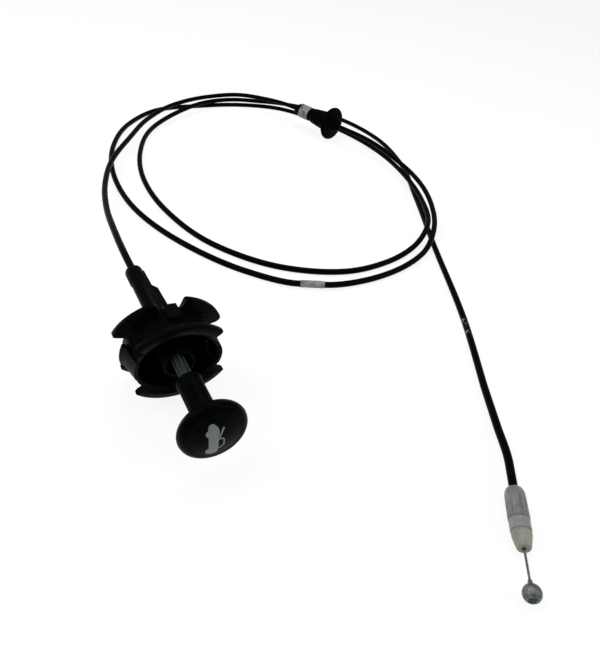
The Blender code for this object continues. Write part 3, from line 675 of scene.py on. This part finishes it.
# %% Metal finishes
def metal(name, dark, light, rough, pit_size, depth):
    """Bare metal with flow marks and pits of a size and a depth in millimetres."""
    material, tree, shader, place, _ = new_finish(name, metallic=1.0)
    flow = noise(tree, place, 360, 5, 1.0)
    pits = noise(tree, place, 1000 / pit_size, 3, 0.4)
    colour = ramp(tree, flow, 0.3, dark, 0.7, light)
    coat(tree, shader, colour, flow, rough, [(flow, 0.03), (pits, depth)])
    return material


zinc = metal("cast_zinc", (0.04, 0.045, 0.042), (0.26, 0.27, 0.265), (0.34, 0.52), 0.45, 0.15)
steel = metal("drawn_steel", (0.16, 0.16, 0.16), (0.3, 0.3, 0.3), (0.26, 0.42), 0.15, 0.006)
blued_steel = metal(
    "blued_steel", (0.006, 0.011, 0.03), (0.018, 0.028, 0.07), (0.25, 0.4), 0.2, 0.01)
print("metals made")

# %% Paper, tape and paint finishes
def paper_finish():
    """White paper with fibres and stains, and creases along the wrap darkened by painted shade."""
    material, tree, shader, place, sheet = new_finish("bare_sticker")
    fibres = noise(tree, place, 1500, 4, 2.0)
    stain = noise(tree, place, 140, 3)
    creases = noise(tree, sheet, 1.0, 3, 0.8, (110, 520, 1))
    colour = ramp(tree, stain, 0.3, (0.24, 0.26, 0.26), 0.7, (0.38, 0.39, 0.36))
    # grey-blue in the creases is painted shade in the folds; the same noise also bumps them below
    colour = mixed(tree, mask(tree, creases, 0.44, 0.6, 0.9), colour, (0.1, 0.115, 0.13))
    heights = [(creases, 0.12), (stain, 0.05), (fibres, 0.01)]
    coat(tree, shader, colour, fibres, (0.4, 0.62), heights)
    return material


def tape_finish():
    """Grey tape with a woven back, grime and soft creases."""
    material, tree, shader, place, sheet = new_finish("wound_tape")
    weave = add_node(
        tree, "TexBrick", Vector=sheet, Scale=1.0, Brick_Width=0.45 * MM, Row_Height=0.4 * MM,
        Mortar_Size=0.08 * MM, Mortar_Smooth=1.0)
    grime = noise(tree, place, 260, 5, 1.0)
    colour = ramp(tree, grime, 0.38, (0.075, 0.08, 0.08), 0.6, (0.3, 0.31, 0.305))
    creases = noise(tree, place, 330, 3, 1.5)
    heights = [(creases, 0.12), (weave.outputs["Fac"], -0.02)]
    coat(tree, shader, colour, grime, (0.42, 0.6), heights)
    return material


def paint_finish():
    """Thin flat paint with a little grain."""
    material, tree, shader, place, _ = new_finish("pad_print")
    thin = noise(tree, place, 1900, 3)
    colour = ramp(tree, thin, 0.3, (0.115, 0.135, 0.135), 0.55, (0.17, 0.195, 0.193))
    coat(tree, shader, colour, thin, (0.42, 0.6), [(thin, 0.008)])
    return material


paper = paper_finish()
tape = tape_finish()
paint = paint_finish()
print("paper, tape and paint made")

# %% Dress a piece
def dress(piece, material, body, slot, *stands_for):
    """Gives a piece its finish, the body that it rides on and the nodes that it stands for."""
    piece.data.materials.clear()
    piece.data.materials.append(material)
    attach(piece, body)
    if stands_for:
        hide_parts(*stands_for)
    return piece


dress(jacket_piece, jacket, "cable", "jacket_black", "conduit", "conduit_end")
print("conduit dressed")

# %% [markdown]
# ## The twist-lock housing
# This black moulding is the hardest piece: its cup, flange, wings and snap tongues all lean 13
# degrees across the pull axis. The CAD already has that shape, so a copy of its mesh is merged and
# keeps its edges. Only the wings' outer corners are rounded, because they slide round behind the
# panel. Each is cut by a block with a cylinder taken out of it, which is built square and then
# raked like the cup. The two lowest corners stay as they are, because the housing stands on them.

# %% Housing skin
RAKE = radians(13)
RAKED = Matrix(((1, 0, 0, 0), (0, 1, -sin(RAKE), 0), (0, 0, cos(RAKE), 0), (0, 0, 0, 1)))
CAD_WELD = 0.001 * MM


def copy_of_node(node, name):
    """Copy of a CAD node, its loose triangles merged and its flat faces made whole."""
    piece = new_object(name, nodes[node].data.copy())
    with edit_mode(piece):
        bpy.ops.mesh.remove_doubles(threshold=CAD_WELD)
        bpy.ops.mesh.dissolve_limited(angle_limit=radians(1))
    return piece


housing_skin = copy_of_node("housing", "housing_skin")
print("housing faces", len(housing_skin.data.polygons))

# %% The wings' outer corners
WING_R = 33.5
WING_MIDDLE = 73
BLOCK = (6, 9, 8)
PLUG_FROM, PLUG_TO = 60, 90
# where a wing ends, in degrees from the top, to which side it ends, and the corner's radius
WING_CORNERS = [
    (15, -1, 2.0), (73, 1, 4.0), (127, -1, 1.5),
    (-15, 1, 2.0), (-73, -1, 2.5), (-127, 1, 1.5),
]


def corner_cutter(angle, side, corner_r):
    """A block outside a wing's end, less the cylinder that the rounded corner keeps."""
    reach = WING_R - corner_r
    width, _, height = BLOCK
    block = box_piece("corner", BLOCK, (side * width / 2, -WING_MIDDLE, reach + height / 2))
    plug = rod("plug", PLUG_FROM, PLUG_TO, corner_r, 48)
    carve(block, turn_about_axis(plug, 0, reach))
    turn_about_axis(block, angle - side * degrees(asin(corner_r / reach)))
    block.data.transform(Matrix.Translation(PULL) @ RAKED)
    return block


for angle, side, corner_r in WING_CORNERS:
    carve(housing_skin, corner_cutter(angle, side, corner_r))
without_slivers(housing_skin)
bpy.ops.object.shade_smooth_by_angle(angle=radians(32))
dress(housing_skin, housing_nylon, "cable", "black_nylon", "housing")
print("wing corners rounded", len(WING_CORNERS))

# %% [markdown]
# A thin cup floor would sink as it cools, so the mould maker braces it with ribs between the hub
# and the wall. The pins that push the cup out of the mould leave shallow round pads beside them,
# and the nylon's way in leaves a small stub on the plate's rear. They are built square to the axis
# and then raked by the same lean as the cup, which keeps them level with its floor.

# %% Ribs, pads and gate stub
PLATE_REAR = 71.5
CUP_FLOOR = 75.5
HUB_R = 9.6
CUP_R = 22.8
RIB_W, RIB_L, RIB_RISE = 1.1, 3.0, 1.1
RIB_ANGLES = (30, 90, 150, 210, 270, 330)
PAD_AT, PAD_RISE = 16.5, 0.15
PAD_R, PAD_TOP_R = 1.9, 1.8
PAD_ANGLES = (60, 180, 300)
STUB_AT, STUB_R = 17, 1.3
STUB_ANGLE = 235
ROOT = 0.3
braces = []
inner, outer = HUB_R - 2 * ROOT, CUP_R + ROOT
for angle in RIB_ANGLES:
    middle = (0, -(CUP_FLOOR + RIB_RISE), (inner + outer) / 2)
    rib = soften(box_piece("rib", (RIB_W, RIB_L, outer - inner), middle), 0.25)
    braces.append(turn_about_axis(rib, angle))
for angle in PAD_ANGLES:
    foot, top = CUP_FLOOR - ROOT, CUP_FLOOR + PAD_RISE
    pad = lathe("pad", [(foot, 0), (foot, PAD_R), (top, PAD_TOP_R), (top, 0)], 32)
    braces.append(turn_about_axis(pad, angle, PAD_AT))
stub = lathe("stub", [(PLATE_REAR + ROOT, 0), (PLATE_REAR + ROOT, STUB_R), (PLATE_REAR - 0.5, 1.1),
                      (PLATE_REAR - 0.6, 0.8), (PLATE_REAR - 0.6, 0)], 24)
braces.append(turn_about_axis(stub, STUB_ANGLE, STUB_AT))
cup_braces = joined("cup_braces", braces)
cup_braces.data.transform(RAKED)
seat(cup_braces, PULL)
dress(cup_braces, housing_nylon, "cable", "black_nylon")
print("ribs, pads and stub", len(RIB_ANGLES) + len(PAD_ANGLES) + 1)

# %% [markdown]
# ## The knob
# A pull knob has to be kind to fingers, so its face is a shallow dome that rolls over into a full
# round edge, and its back is hollowed a little where the fingertips hook behind it. It is turned
# from a profile with a fine parting line at its widest place.

# %% Knob
KNOB_R = 18.7
ROUND = 4.6
DOME = 2.2
FACE_R = KNOB_R - ROUND
SPHERE_R = (FACE_R ** 2 + DOME ** 2) / (2 * DOME)
PARTING = 0.05
SOCKET_R = 7.3
SOCKET_TO = 150.6
FACE_STEPS, ROUND_STEPS = 9, 16
face_mm = S_FACE / MM
back_mm = S_KNOB_BACK / MM


def knob_profile():
    """Face, round edge with its parting line, and hollowed back with the boss and socket."""
    points = []
    for i in range(FACE_STEPS):
        r = FACE_R * i / FACE_STEPS
        points.append((face_mm - SPHERE_R + (SPHERE_R ** 2 - r ** 2) ** 0.5, r))
    centre = face_mm - DOME - ROUND
    for i in range(ROUND_STEPS + 1):
        if i == ROUND_STEPS / 2:
            points += [(centre + 0.12, KNOB_R), (centre + 0.05, KNOB_R + PARTING)]
            points += [(centre - 0.05, KNOB_R + PARTING), (centre - 0.12, KNOB_R)]
            continue
        angle = radians(90 - 180 * i / ROUND_STEPS)
        points.append((centre + ROUND * sin(angle), FACE_R + ROUND * cos(angle)))
    low = centre - ROUND
    points += [(low - 0.6, FACE_R - 1.5), (low - 1.4, 12.4), (back_mm + 0.3, 10.4)]
    points += [(back_mm, 9.2), (back_mm - 1.8, 8.9), (back_mm - 1.8, SOCKET_R)]
    return points + [(SOCKET_TO, SOCKET_R), (SOCKET_TO, 0)]


knob_skin = lathe("knob_skin", knob_profile(), 96)
soften(knob_skin, 0.3, 40)
seat(knob_skin, PULL)
dress(knob_skin, knob_nylon, "pull_knob", "knob_black", "knob")
print("knob spans", [round(d / MM, 1) for d in knob_skin.dimensions], "mm")

# %% [markdown]
# ## The pictogram
# The common sign for a hood release is a car from the side with its hood up. It is drawn here as
# three simple flat shapes: the body with its two wheels, the cabin as a thin loop, and the hood as
# a short bar. Each outline is filled, cut into small faces, laid onto the dome and given the
# thickness of a pad print.

# %% Pictogram
CAR_BODY = [
    (-4.7, 8.9), (-4.1, 9.8), (-3.0, 10.3), (-1.8, 10.0), (-1.0, 9.1), (-0.2, 8.2), (0.5, 7.0),
    (1.0, 5.2), (1.1, 3.1), (0.8, 0.4), (0.9, -3.6), (1.1, -7.5), (1.0, -10.1), (0.4, -11.1),
    (-0.8, -11.7), (-2.8, -11.7), (-4.1, -11.1), (-5.1, -10.3), (-5.6, -9.1), (-5.5, -7.9),
    (-4.9, -6.9), (-4.0, -6.5), (-4.2, -3.6), (-4.4, -0.8), (-4.5, 1.7), (-5.3, 2.6), (-6.0, 3.7),
    (-6.0, 4.8), (-5.6, 5.9), (-4.8, 6.4),
]
CABIN_OUTER = [(0.5, 0.2), (3.4, -0.3), (4.2, -1.9), (4.3, -6.1), (2.3, -8.0), (0.5, -7.7)]
CABIN_INNER = [(0.5, -0.8), (2.9, -1.1), (3.5, -2.2), (3.6, -5.6), (2.0, -7.1), (0.5, -6.8)]
HOOD_BAR = [(0.9, 1.2), (1.5, 0.1), (3.8, 6.2), (2.9, 7.2)]
PRINT_T = 0.06
PRINT_SUNK = 0.02 * MM


def flat_print(name, faces):
    """Flat shapes on the knob's face from lists of (x, z) corners in millimetres."""
    verts, polygons = [], []
    for corners in faces:
        first = len(verts)
        verts += [(x * MM, -S_FACE, z * MM) for x, z in corners]
        polygons.append(tuple(range(first, first + len(corners))))
    piece = drawn_piece(name, verts, polygons)
    with edit_mode(piece):
        bpy.ops.mesh.remove_doubles(threshold=0.01 * MM)
        bpy.ops.mesh.quads_convert_to_tris()
        bpy.ops.mesh.subdivide(number_cuts=4)
        bpy.ops.mesh.normals_make_consistent(inside=False)
    return piece


def lay_on_dome(piece):
    """Drops each corner of a flat shape onto the knob's face."""
    sphere_r = SPHERE_R * MM
    for vert in piece.data.vertices:
        off = (vert.co.x ** 2 + vert.co.z ** 2) ** 0.5
        drop = sphere_r - (sphere_r ** 2 - off ** 2) ** 0.5
        vert.co.y = -S_FACE + drop + PRINT_SUNK
    return piece


cabin_faces = []
for i in range(len(CABIN_OUTER) - 1):
    cabin_faces.append([CABIN_OUTER[i], CABIN_OUTER[i + 1], CABIN_INNER[i + 1], CABIN_INNER[i]])
SIGN = {"sign_body": [CAR_BODY], "sign_cabin": cabin_faces, "sign_hood": [HOOD_BAR]}
for name, faces in SIGN.items():
    shape = thicken(lay_on_dome(flat_print(name, faces)), PRINT_T)
    seat(shape, PULL)
    dress(shape, paint, "pull_knob", "knob_black")
print("sign pieces", len(SIGN))

# %% [markdown]
# ## The stem and the shaft
# The stem is a hollow moulding with a collar at its rear end. Two shallow oval recesses let the
# mould's pins hold its core. The grey shaft inside has ribs so that it can't turn. It is a copy
# of its CAD node.

# %% Stem
STEM_FROM = S_STEM / MM
STEM_TO = 150.3
STEM_R = 7.0
COLLAR_R = 7.35
BORE_R = 4.1
BORE_LEN = 22
DIMPLE = (2.2, 4.2, 1.1)
DIMPLE_AT = 8.5
DIMPLE_ANGLES = (-25, 155)
stem_skin = lathe("stem_skin", [
    (STEM_TO, 0), (STEM_TO, 6.5), (STEM_TO - 0.5, STEM_R), (STEM_FROM + 2.9, STEM_R),
    (STEM_FROM + 2.4, COLLAR_R), (STEM_FROM + 0.4, COLLAR_R), (STEM_FROM, 6.95),
    (STEM_FROM, BORE_R), (STEM_FROM + BORE_LEN, BORE_R), (STEM_FROM + BORE_LEN, 0),
], 72)
for angle in DIMPLE_ANGLES:
    bpy.ops.object.select_all(action="DESELECT")
    bpy.ops.mesh.primitive_uv_sphere_add(segments=40, ring_count=20, radius=1)
    dimple = bpy.context.object
    dimple.scale = [size * MM for size in DIMPLE]
    dimple.location = (0, -(STEM_FROM + DIMPLE_AT) * MM, STEM_R * MM)
    bpy.ops.object.transform_apply(location=True, rotation=True, scale=True)
    carve(stem_skin, turn_about_axis(dimple, angle))
soften(stem_skin, 0.15, 40)
seat(stem_skin, PULL, smooth=35)
dress(stem_skin, stem_nylon, "pull_knob", "black_nylon", "stem")
print("stem recesses", len(DIMPLE_ANGLES))

# %% Shaft
shaft_skin = copy_of_node("pull_shaft", "shaft_skin")
bpy.ops.object.shade_smooth_by_angle(angle=radians(35))
dress(shaft_skin, shaft_nylon, "pull_knob", "grey_nylon", "pull_shaft")
print("shaft faces", len(shaft_skin.data.polygons))

# %% [markdown]
# ## The grommet and its tape
# A rubber grommet carries the conduit through the bulkhead. It has a round flange, a groove that
# the sheet metal snaps into, a shoulder that leads it in, and a long boot that is taped down. The
# tape is one strip wound in a helix. Each turn lies nearly half over the one before, where it is
# lifted by a tape's thickness, so its edges show as a spiral. Tape and sticker are both sheets, so
# one helper makes rows of corners into a sheet with a UV map in metres.

# %% Grommet
grommet_skin = lathe("grommet_skin", [
    (10, 3.0), (10, 5.4), (9.4, 6.0), (6.5, 6.7), (3.4, 8.0), (2.5, 9.2), (2.5, 15.8), (2.3, 17.4),
    (1.6, 18.5), (0, 19.0), (-1.6, 18.5), (-2.3, 17.4), (-2.5, 15.8), (-2.5, 9.4), (-4.9, 9.4),
    (-4.9, 11.0), (-5.3, 11.4), (-7.9, 11.4), (-9.2, 11.3), (-11.0, 10.8), (-12.4, 10.6),
    (-13.6, 10.7), (-16.0, 10.2), (-18.0, 9.9), (-19.4, 10.0), (-22.0, 9.4), (-24.0, 9.1),
    (-25.4, 9.2), (-28.0, 8.6), (-29.6, 8.3), (-30.8, 7.7), (-31.9, 7.6), (-45.0, 7.6),
    (-51.0, 7.5), (-53.5, 6.9), (-55.4, 5.6), (-57.2, 4.6), (-58.4, 4.2), (-58.5, 3.9),
    (-58.5, 3.0),
], 80, ring=True)
soften(grommet_skin, 0.25, 40)
seat(grommet_skin, GROMMET_AT, GROMMET_TURN)
dress(grommet_skin, boot_rubber, "cable", "rubber_black", "grommet")
print("grommet triangles", triangles(grommet_skin))

# %% Tape
TAPE_TURNS = 3
TAPE_W = 6.4 * MM
TAPE_FROM = -50.5 * MM
TAPE_COVERS = 17.6 * MM
TAPE_PITCH = (TAPE_COVERS - TAPE_W) / TAPE_TURNS
TAPE_IN_R = 7.95
TAPE_OUT_R = 8 * MM
OVERLAP_LIFT = 0.16
WRINKLE = 0.03
TAPE_ROUND = 48
TAPE_ACROSS = 5


def sheet_piece(name, verts, uvs, across, thickness, offset=0):
    """Sheet from rows of corners and their UV places, with a thickness in millimetres."""
    faces = []
    for row in range(len(verts) // across - 1):
        for a in range(row * across, (row + 1) * across - 1):
            faces.append((a, a + 1, a + 1 + across, a + across))
    piece = drawn_piece(name, verts, faces)
    layer = piece.data.uv_layers.new(name="sheet")
    for loop in piece.data.loops:
        layer.data[loop.index].uv = uvs[loop.vertex_index]
    return thicken(piece, thickness, offset)


def wound_tape():
    """The strip, row by row round its helix."""
    rng = np.random.default_rng(4)
    verts, uvs = [], []
    for i in range(TAPE_TURNS * TAPE_ROUND + 1):
        angle = 2 * pi * i / TAPE_ROUND
        start = TAPE_FROM + TAPE_PITCH * i / TAPE_ROUND
        for k in range(TAPE_ACROSS):
            share = k / (TAPE_ACROSS - 1)
            lift = OVERLAP_LIFT * (1 - share) + WRINKLE * rng.random()
            radius = (TAPE_IN_R + lift) * MM
            verts.append((radius * sin(angle), -(start + TAPE_W * share), radius * cos(angle)))
            uvs.append((angle * TAPE_OUT_R, TAPE_W * share))
    return sheet_piece("tape_winding", verts, uvs, TAPE_ACROSS, 0.09, 1)


tape_piece = wound_tape()
seat(tape_piece, GROMMET_AT, GROMMET_TURN, 50)
dress(tape_piece, tape, "cable", "tape_grey", "grommet_tape")
print("tape turns", TAPE_TURNS)

# %% [markdown]
# ## The sticker
# A bare white sticker is wrapped round the conduit a little more than once, so its outer end lies
# over its inner one, and the paper is creased where it had to stretch. It is drawn as one spiral in
# cross-section, carried along the conduit with a slight wave, and given the thickness of paper.

# %% Sticker
STICKER_LEN = 19.4
WRAP_FROM, WRAP_TURN = radians(60), radians(430)
WRAP_INNER, WRAP_OUTER = 2.68, 2.92
WAVE = 0.05
WRAP_STEPS = 52
WRAP_ROWS = 18


def wrapped_sticker():
    """The sticker, row by row along the conduit."""
    verts, uvs = [], []
    for row in range(WRAP_ROWS + 1):
        station = (-STICKER_LEN / 2 + STICKER_LEN * row / WRAP_ROWS) * MM
        for k in range(WRAP_STEPS + 1):
            share = k / WRAP_STEPS
            angle = WRAP_FROM + WRAP_TURN * share
            wave = WAVE * sin(2.3 * row / 3 + 5 * angle)
            radius = (WRAP_INNER + (WRAP_OUTER - WRAP_INNER) * share + wave * share) * MM
            verts.append((radius * cos(angle), -station, radius * sin(angle)))
            uvs.append((station, angle * WRAP_OUTER * MM))
    return sheet_piece("wrapped_sticker", verts, uvs, WRAP_STEPS + 1, 0.1)


sticker = wrapped_sticker()
seat(sticker, LABEL_AT, LABEL_TURN, 50)
dress(sticker, paper, "cable", "sticker_white", "label_wrap")
print("sticker", [round(d / MM, 1) for d in sticker.dimensions], "mm")

# %% [markdown]
# ## The end cap, the wire and the ball
# The far end of the conduit sits in a frosted sleeve. A white ring and a yellowish tapered tip are
# pressed into it, and the wire comes out through the tip's small hole. All three are turned
# mouldings. The wire is a real strand: twelve small wires laid in a helix round a core. The ball
# is cast onto it, and the wire's blued end shows in a recess in its flat.

# %% Cap
cap_sleeve = lathe("cap_sleeve_skin", [
    (0, 2.8), (0, 3.8), (0.4, 4.3), (0.9, 4.7), (2.2, 5.2), (3.6, 5.5), (6.0, 5.62), (13.6, 5.68),
    (13.8, 5.55), (14.3, 5.55), (14.5, 5.7), (19.5, 5.75), (20.1, 5.5), (20.25, 5.3),
    (20.25, 3.7), (11.7, 3.7), (11.7, 1.1), (8.6, 1.1), (8.6, 2.8),
], ring=True)
cap_ring = lathe("cap_ring_skin", [
    (20.3, 3.7), (20.3, 5.3), (20.55, 5.5), (23.0, 5.5), (23.2, 5.38), (23.7, 5.38), (23.9, 5.5),
    (27.25, 5.5), (27.5, 5.3), (27.55, 5.1), (27.55, 3.7),
], ring=True)
cap_tip = lathe("cap_tip_skin", [
    (12.0, 1.1), (12.0, 3.4), (27.6, 3.4), (27.6, 5.05), (27.85, 5.25), (29.9, 5.25), (30.4, 5.15),
    (33.0, 4.6), (35.5, 4.05), (36.8, 3.7), (37.3, 3.4), (37.6, 2.9), (37.6, 1.75), (37.1, 1.25),
    (37.1, 1.1),
], ring=True)
for piece, material, slot, node in (
    (cap_sleeve, sleeve_nylon, "nylon_frosted", "cap_sleeve"),
    (cap_ring, ring_nylon, "nylon_white", "cap_ring"),
    (cap_tip, tip_nylon, "nylon_natural", "cap_tip"),
):
    soften(piece, 0.15, 40)
    seat(piece, CAP_AT, CAP_TURN)
    dress(piece, material, "cable", slot, node)
print("cap pieces made")

# %% Ball
BALL_AT = 61.0
BALL_R = 4.7
FLAT_R = 3.0
BALL_FROM, BALL_TO = -59, 50.3
BALL_STEPS = 18
flat = BALL_AT + (BALL_R ** 2 - FLAT_R ** 2) ** 0.5
ball_profile = [(54.1, 0), (54.1, 0.9), (54.6, 1.12), (55.6, 1.25), (56.4, 1.7)]
for step in range(1, BALL_STEPS + 1):
    angle = radians(BALL_FROM + (BALL_TO - BALL_FROM) * step / BALL_STEPS)
    ball_profile.append((BALL_AT + BALL_R * sin(angle), BALL_R * cos(angle)))
ball_profile += [(flat, 2.5), (flat - 0.55, 2.3), (flat - 0.65, 0)]
ball_skin = lathe("ball_skin", ball_profile, 56)
soften(ball_skin, 0.12, 45)
seat(ball_skin, CAP_AT, CAP_TURN)
wire_head = lathe("wire_head", [
    (flat - 0.6, 0), (flat - 0.6, 2.0), (flat - 0.4, 1.9), (flat - 0.3, 1.2), (flat - 0.42, 0),
], 40)
seat(wire_head, CAP_AT, CAP_TURN)
dress(wire_head, blued_steel, "end_wire", "steel")
dress(ball_skin, zinc, "end_wire", "zinc_cast", "ball")
print("ball triangles", triangles(ball_skin))

# %% Wire
WIRE_FROM, WIRE_TO = -5.0, 53.8
STRANDS = 12
LAY = 9.0
LAID_R = 0.51
STRAND_R = 0.135
STRAND_LEAN = 0.3
CORE_R = 0.46
STRAND_SIDES = 6
STRAND_STEPS = 120


def strand(phase):
    """One small wire as a helix round the local -Y axis."""
    verts = []
    for i in range(STRAND_STEPS + 1):
        station = WIRE_FROM + (WIRE_TO - WIRE_FROM) * i / STRAND_STEPS
        angle = phase + 2 * pi * station / LAY
        for k in range(STRAND_SIDES):
            turned = 2 * pi * k / STRAND_SIDES
            r = LAID_R + STRAND_R * cos(turned)
            s = station + STRAND_R * sin(turned) * STRAND_LEAN
            a = angle + STRAND_R * sin(turned) / LAID_R
            verts.append((r * sin(a) * MM, -s * MM, r * cos(a) * MM))
    return drawn_piece("strand", verts, tube_faces(STRAND_STEPS + 1, STRAND_SIDES))


strands = [strand(2 * pi * k / STRANDS) for k in range(STRANDS)]
strands.append(rod("strand_core", WIRE_FROM, WIRE_TO, CORE_R, 12))
wire = joined("stranded_wire", strands)
with edit_mode(wire):
    bpy.ops.mesh.normals_make_consistent(inside=False)
seat(wire, CAP_AT, CAP_TURN, 60)
dress(wire, steel, "end_wire", "steel", "wire_end")
print("wire triangles", triangles(wire))

# %% [markdown]
# ## What stays as the CAD made it
# The steel bush, the nipple and the short wire lie inside the housing and show only when the cable
# is taken apart. They keep their solids and get the metal finishes.

# %% Carried-over nodes
for node, material in (("conduit_bush", steel), ("wire_nipple", zinc), ("knob_wire", steel)):
    nodes[node].data.materials.clear()
    nodes[node].data.materials.append(material)

# %% [markdown]
# ## The cord's length
# The photograph shows this cable from end to end, so the length of the drawn line is its real
# length.

# %% [markdown]
# ## Floor and light
# The photograph is a cut-out on white. The floor is pale and matt, and it shows almost white to
# the camera while it still takes a soft shadow. The world is white to the camera and dim to all
# else. Three soft lamps stand round the cable, so that black plastic is drawn by long soft
# highlights, as it is in the photograph.

# %% Floor
FLOOR_SIZE = 6.0
FLOOR_AT = (0.15, 0.2, -0.3 * MM)
WHITE_SHARE = 0.8
WHITE_STRENGTH = 1.08


def exchange(tree, factor, usual, other, output):
    """Shows another shader in place of the usual one, by a factor."""
    blend = add_node(tree, "MixShader", Fac=factor)
    tree.links.new(usual, blend.inputs[1])
    tree.links.new(other, blend.inputs[2])
    tree.links.new(blend.outputs["Shader"], tree.nodes[output].inputs["Surface"])


def seen_directly(tree):
    """One where a ray comes from the camera or off gloss or through glass, else nought."""
    rays = add_node(tree, "LightPath").outputs
    first = maths(tree, "MAXIMUM", rays["Is Camera Ray"], rays["Is Glossy Ray"])
    return maths(tree, "MAXIMUM", first, rays["Is Transmission Ray"])


bpy.ops.object.select_all(action="DESELECT")
bpy.ops.mesh.primitive_plane_add(size=FLOOR_SIZE, location=FLOOR_AT)
floor = bpy.context.object
floor.name = "floor"
floor_material, floor_tree, floor_shader, _, _ = new_finish("floor_white")
feed_all(floor_tree, floor_shader, Base_Color=(0.86, 0.86, 0.86), Roughness=0.9,
         Specular_IOR_Level=0.1)
white = add_node(floor_tree, "Emission", Strength=WHITE_STRENGTH)
share = maths(floor_tree, "MULTIPLY", seen_directly(floor_tree), WHITE_SHARE)
exchange(floor_tree, share, floor_shader.outputs["BSDF"], white.outputs["Emission"],
         "Material Output")
floor.data.materials.append(floor_material)
print("floor", FLOOR_SIZE, "m wide")

# %% World
world = bpy.data.worlds.new("studio")
world.use_nodes = True
bpy.context.scene.world = world
world_tree = world.node_tree
dim = feed_all(world_tree, world_tree.nodes["Background"], Color=(0.9, 0.93, 0.95), Strength=0.33)
bright = add_node(world_tree, "Background", Color=(1, 1, 1), Strength=1.0)
camera_rays = add_node(world_tree, "LightPath").outputs["Is Camera Ray"]
exchange(world_tree, camera_rays, dim.outputs["Background"], bright.outputs["Background"],
         "World Output")
print("world strength", round(dim.inputs["Strength"].default_value, 2))


# %% Lamps
def softbox(name, at, towards, size, power):
    """Square lamp of a size, which looks from one place towards another."""
    lamp = bpy.data.lights.new(name, "AREA")
    lamp.shape = "RECTANGLE"
    lamp.size, lamp.size_y = size
    lamp.energy = power
    holder = new_object(name, lamp)
    holder.location = at
    holder.rotation_euler = (Vector(towards) - Vector(at)).to_track_quat("-Z", "Y").to_euler()


softbox("key_lamp", (-0.9, 0.3, 1.1), (0.1, 0.1, 0.0), (0.9, 0.9), 9.2)
softbox("top_lamp", (0.3, 0.5, 1.5), (0.15, 0.1, 0.0), (1.0, 0.8), 6.9)
softbox("fill_lamp", (0.9, -0.7, 0.8), (0.1, 0.0, 0.0), (0.7, 0.7), 3.9)
bpy.context.scene.view_settings.view_transform = "Standard"
print("lamps", len(bpy.data.lights))

# %% [markdown]
# ## The end
# The dressed cable is meant to stay inside the box of its solids.

# %% Finish
print("scene built")
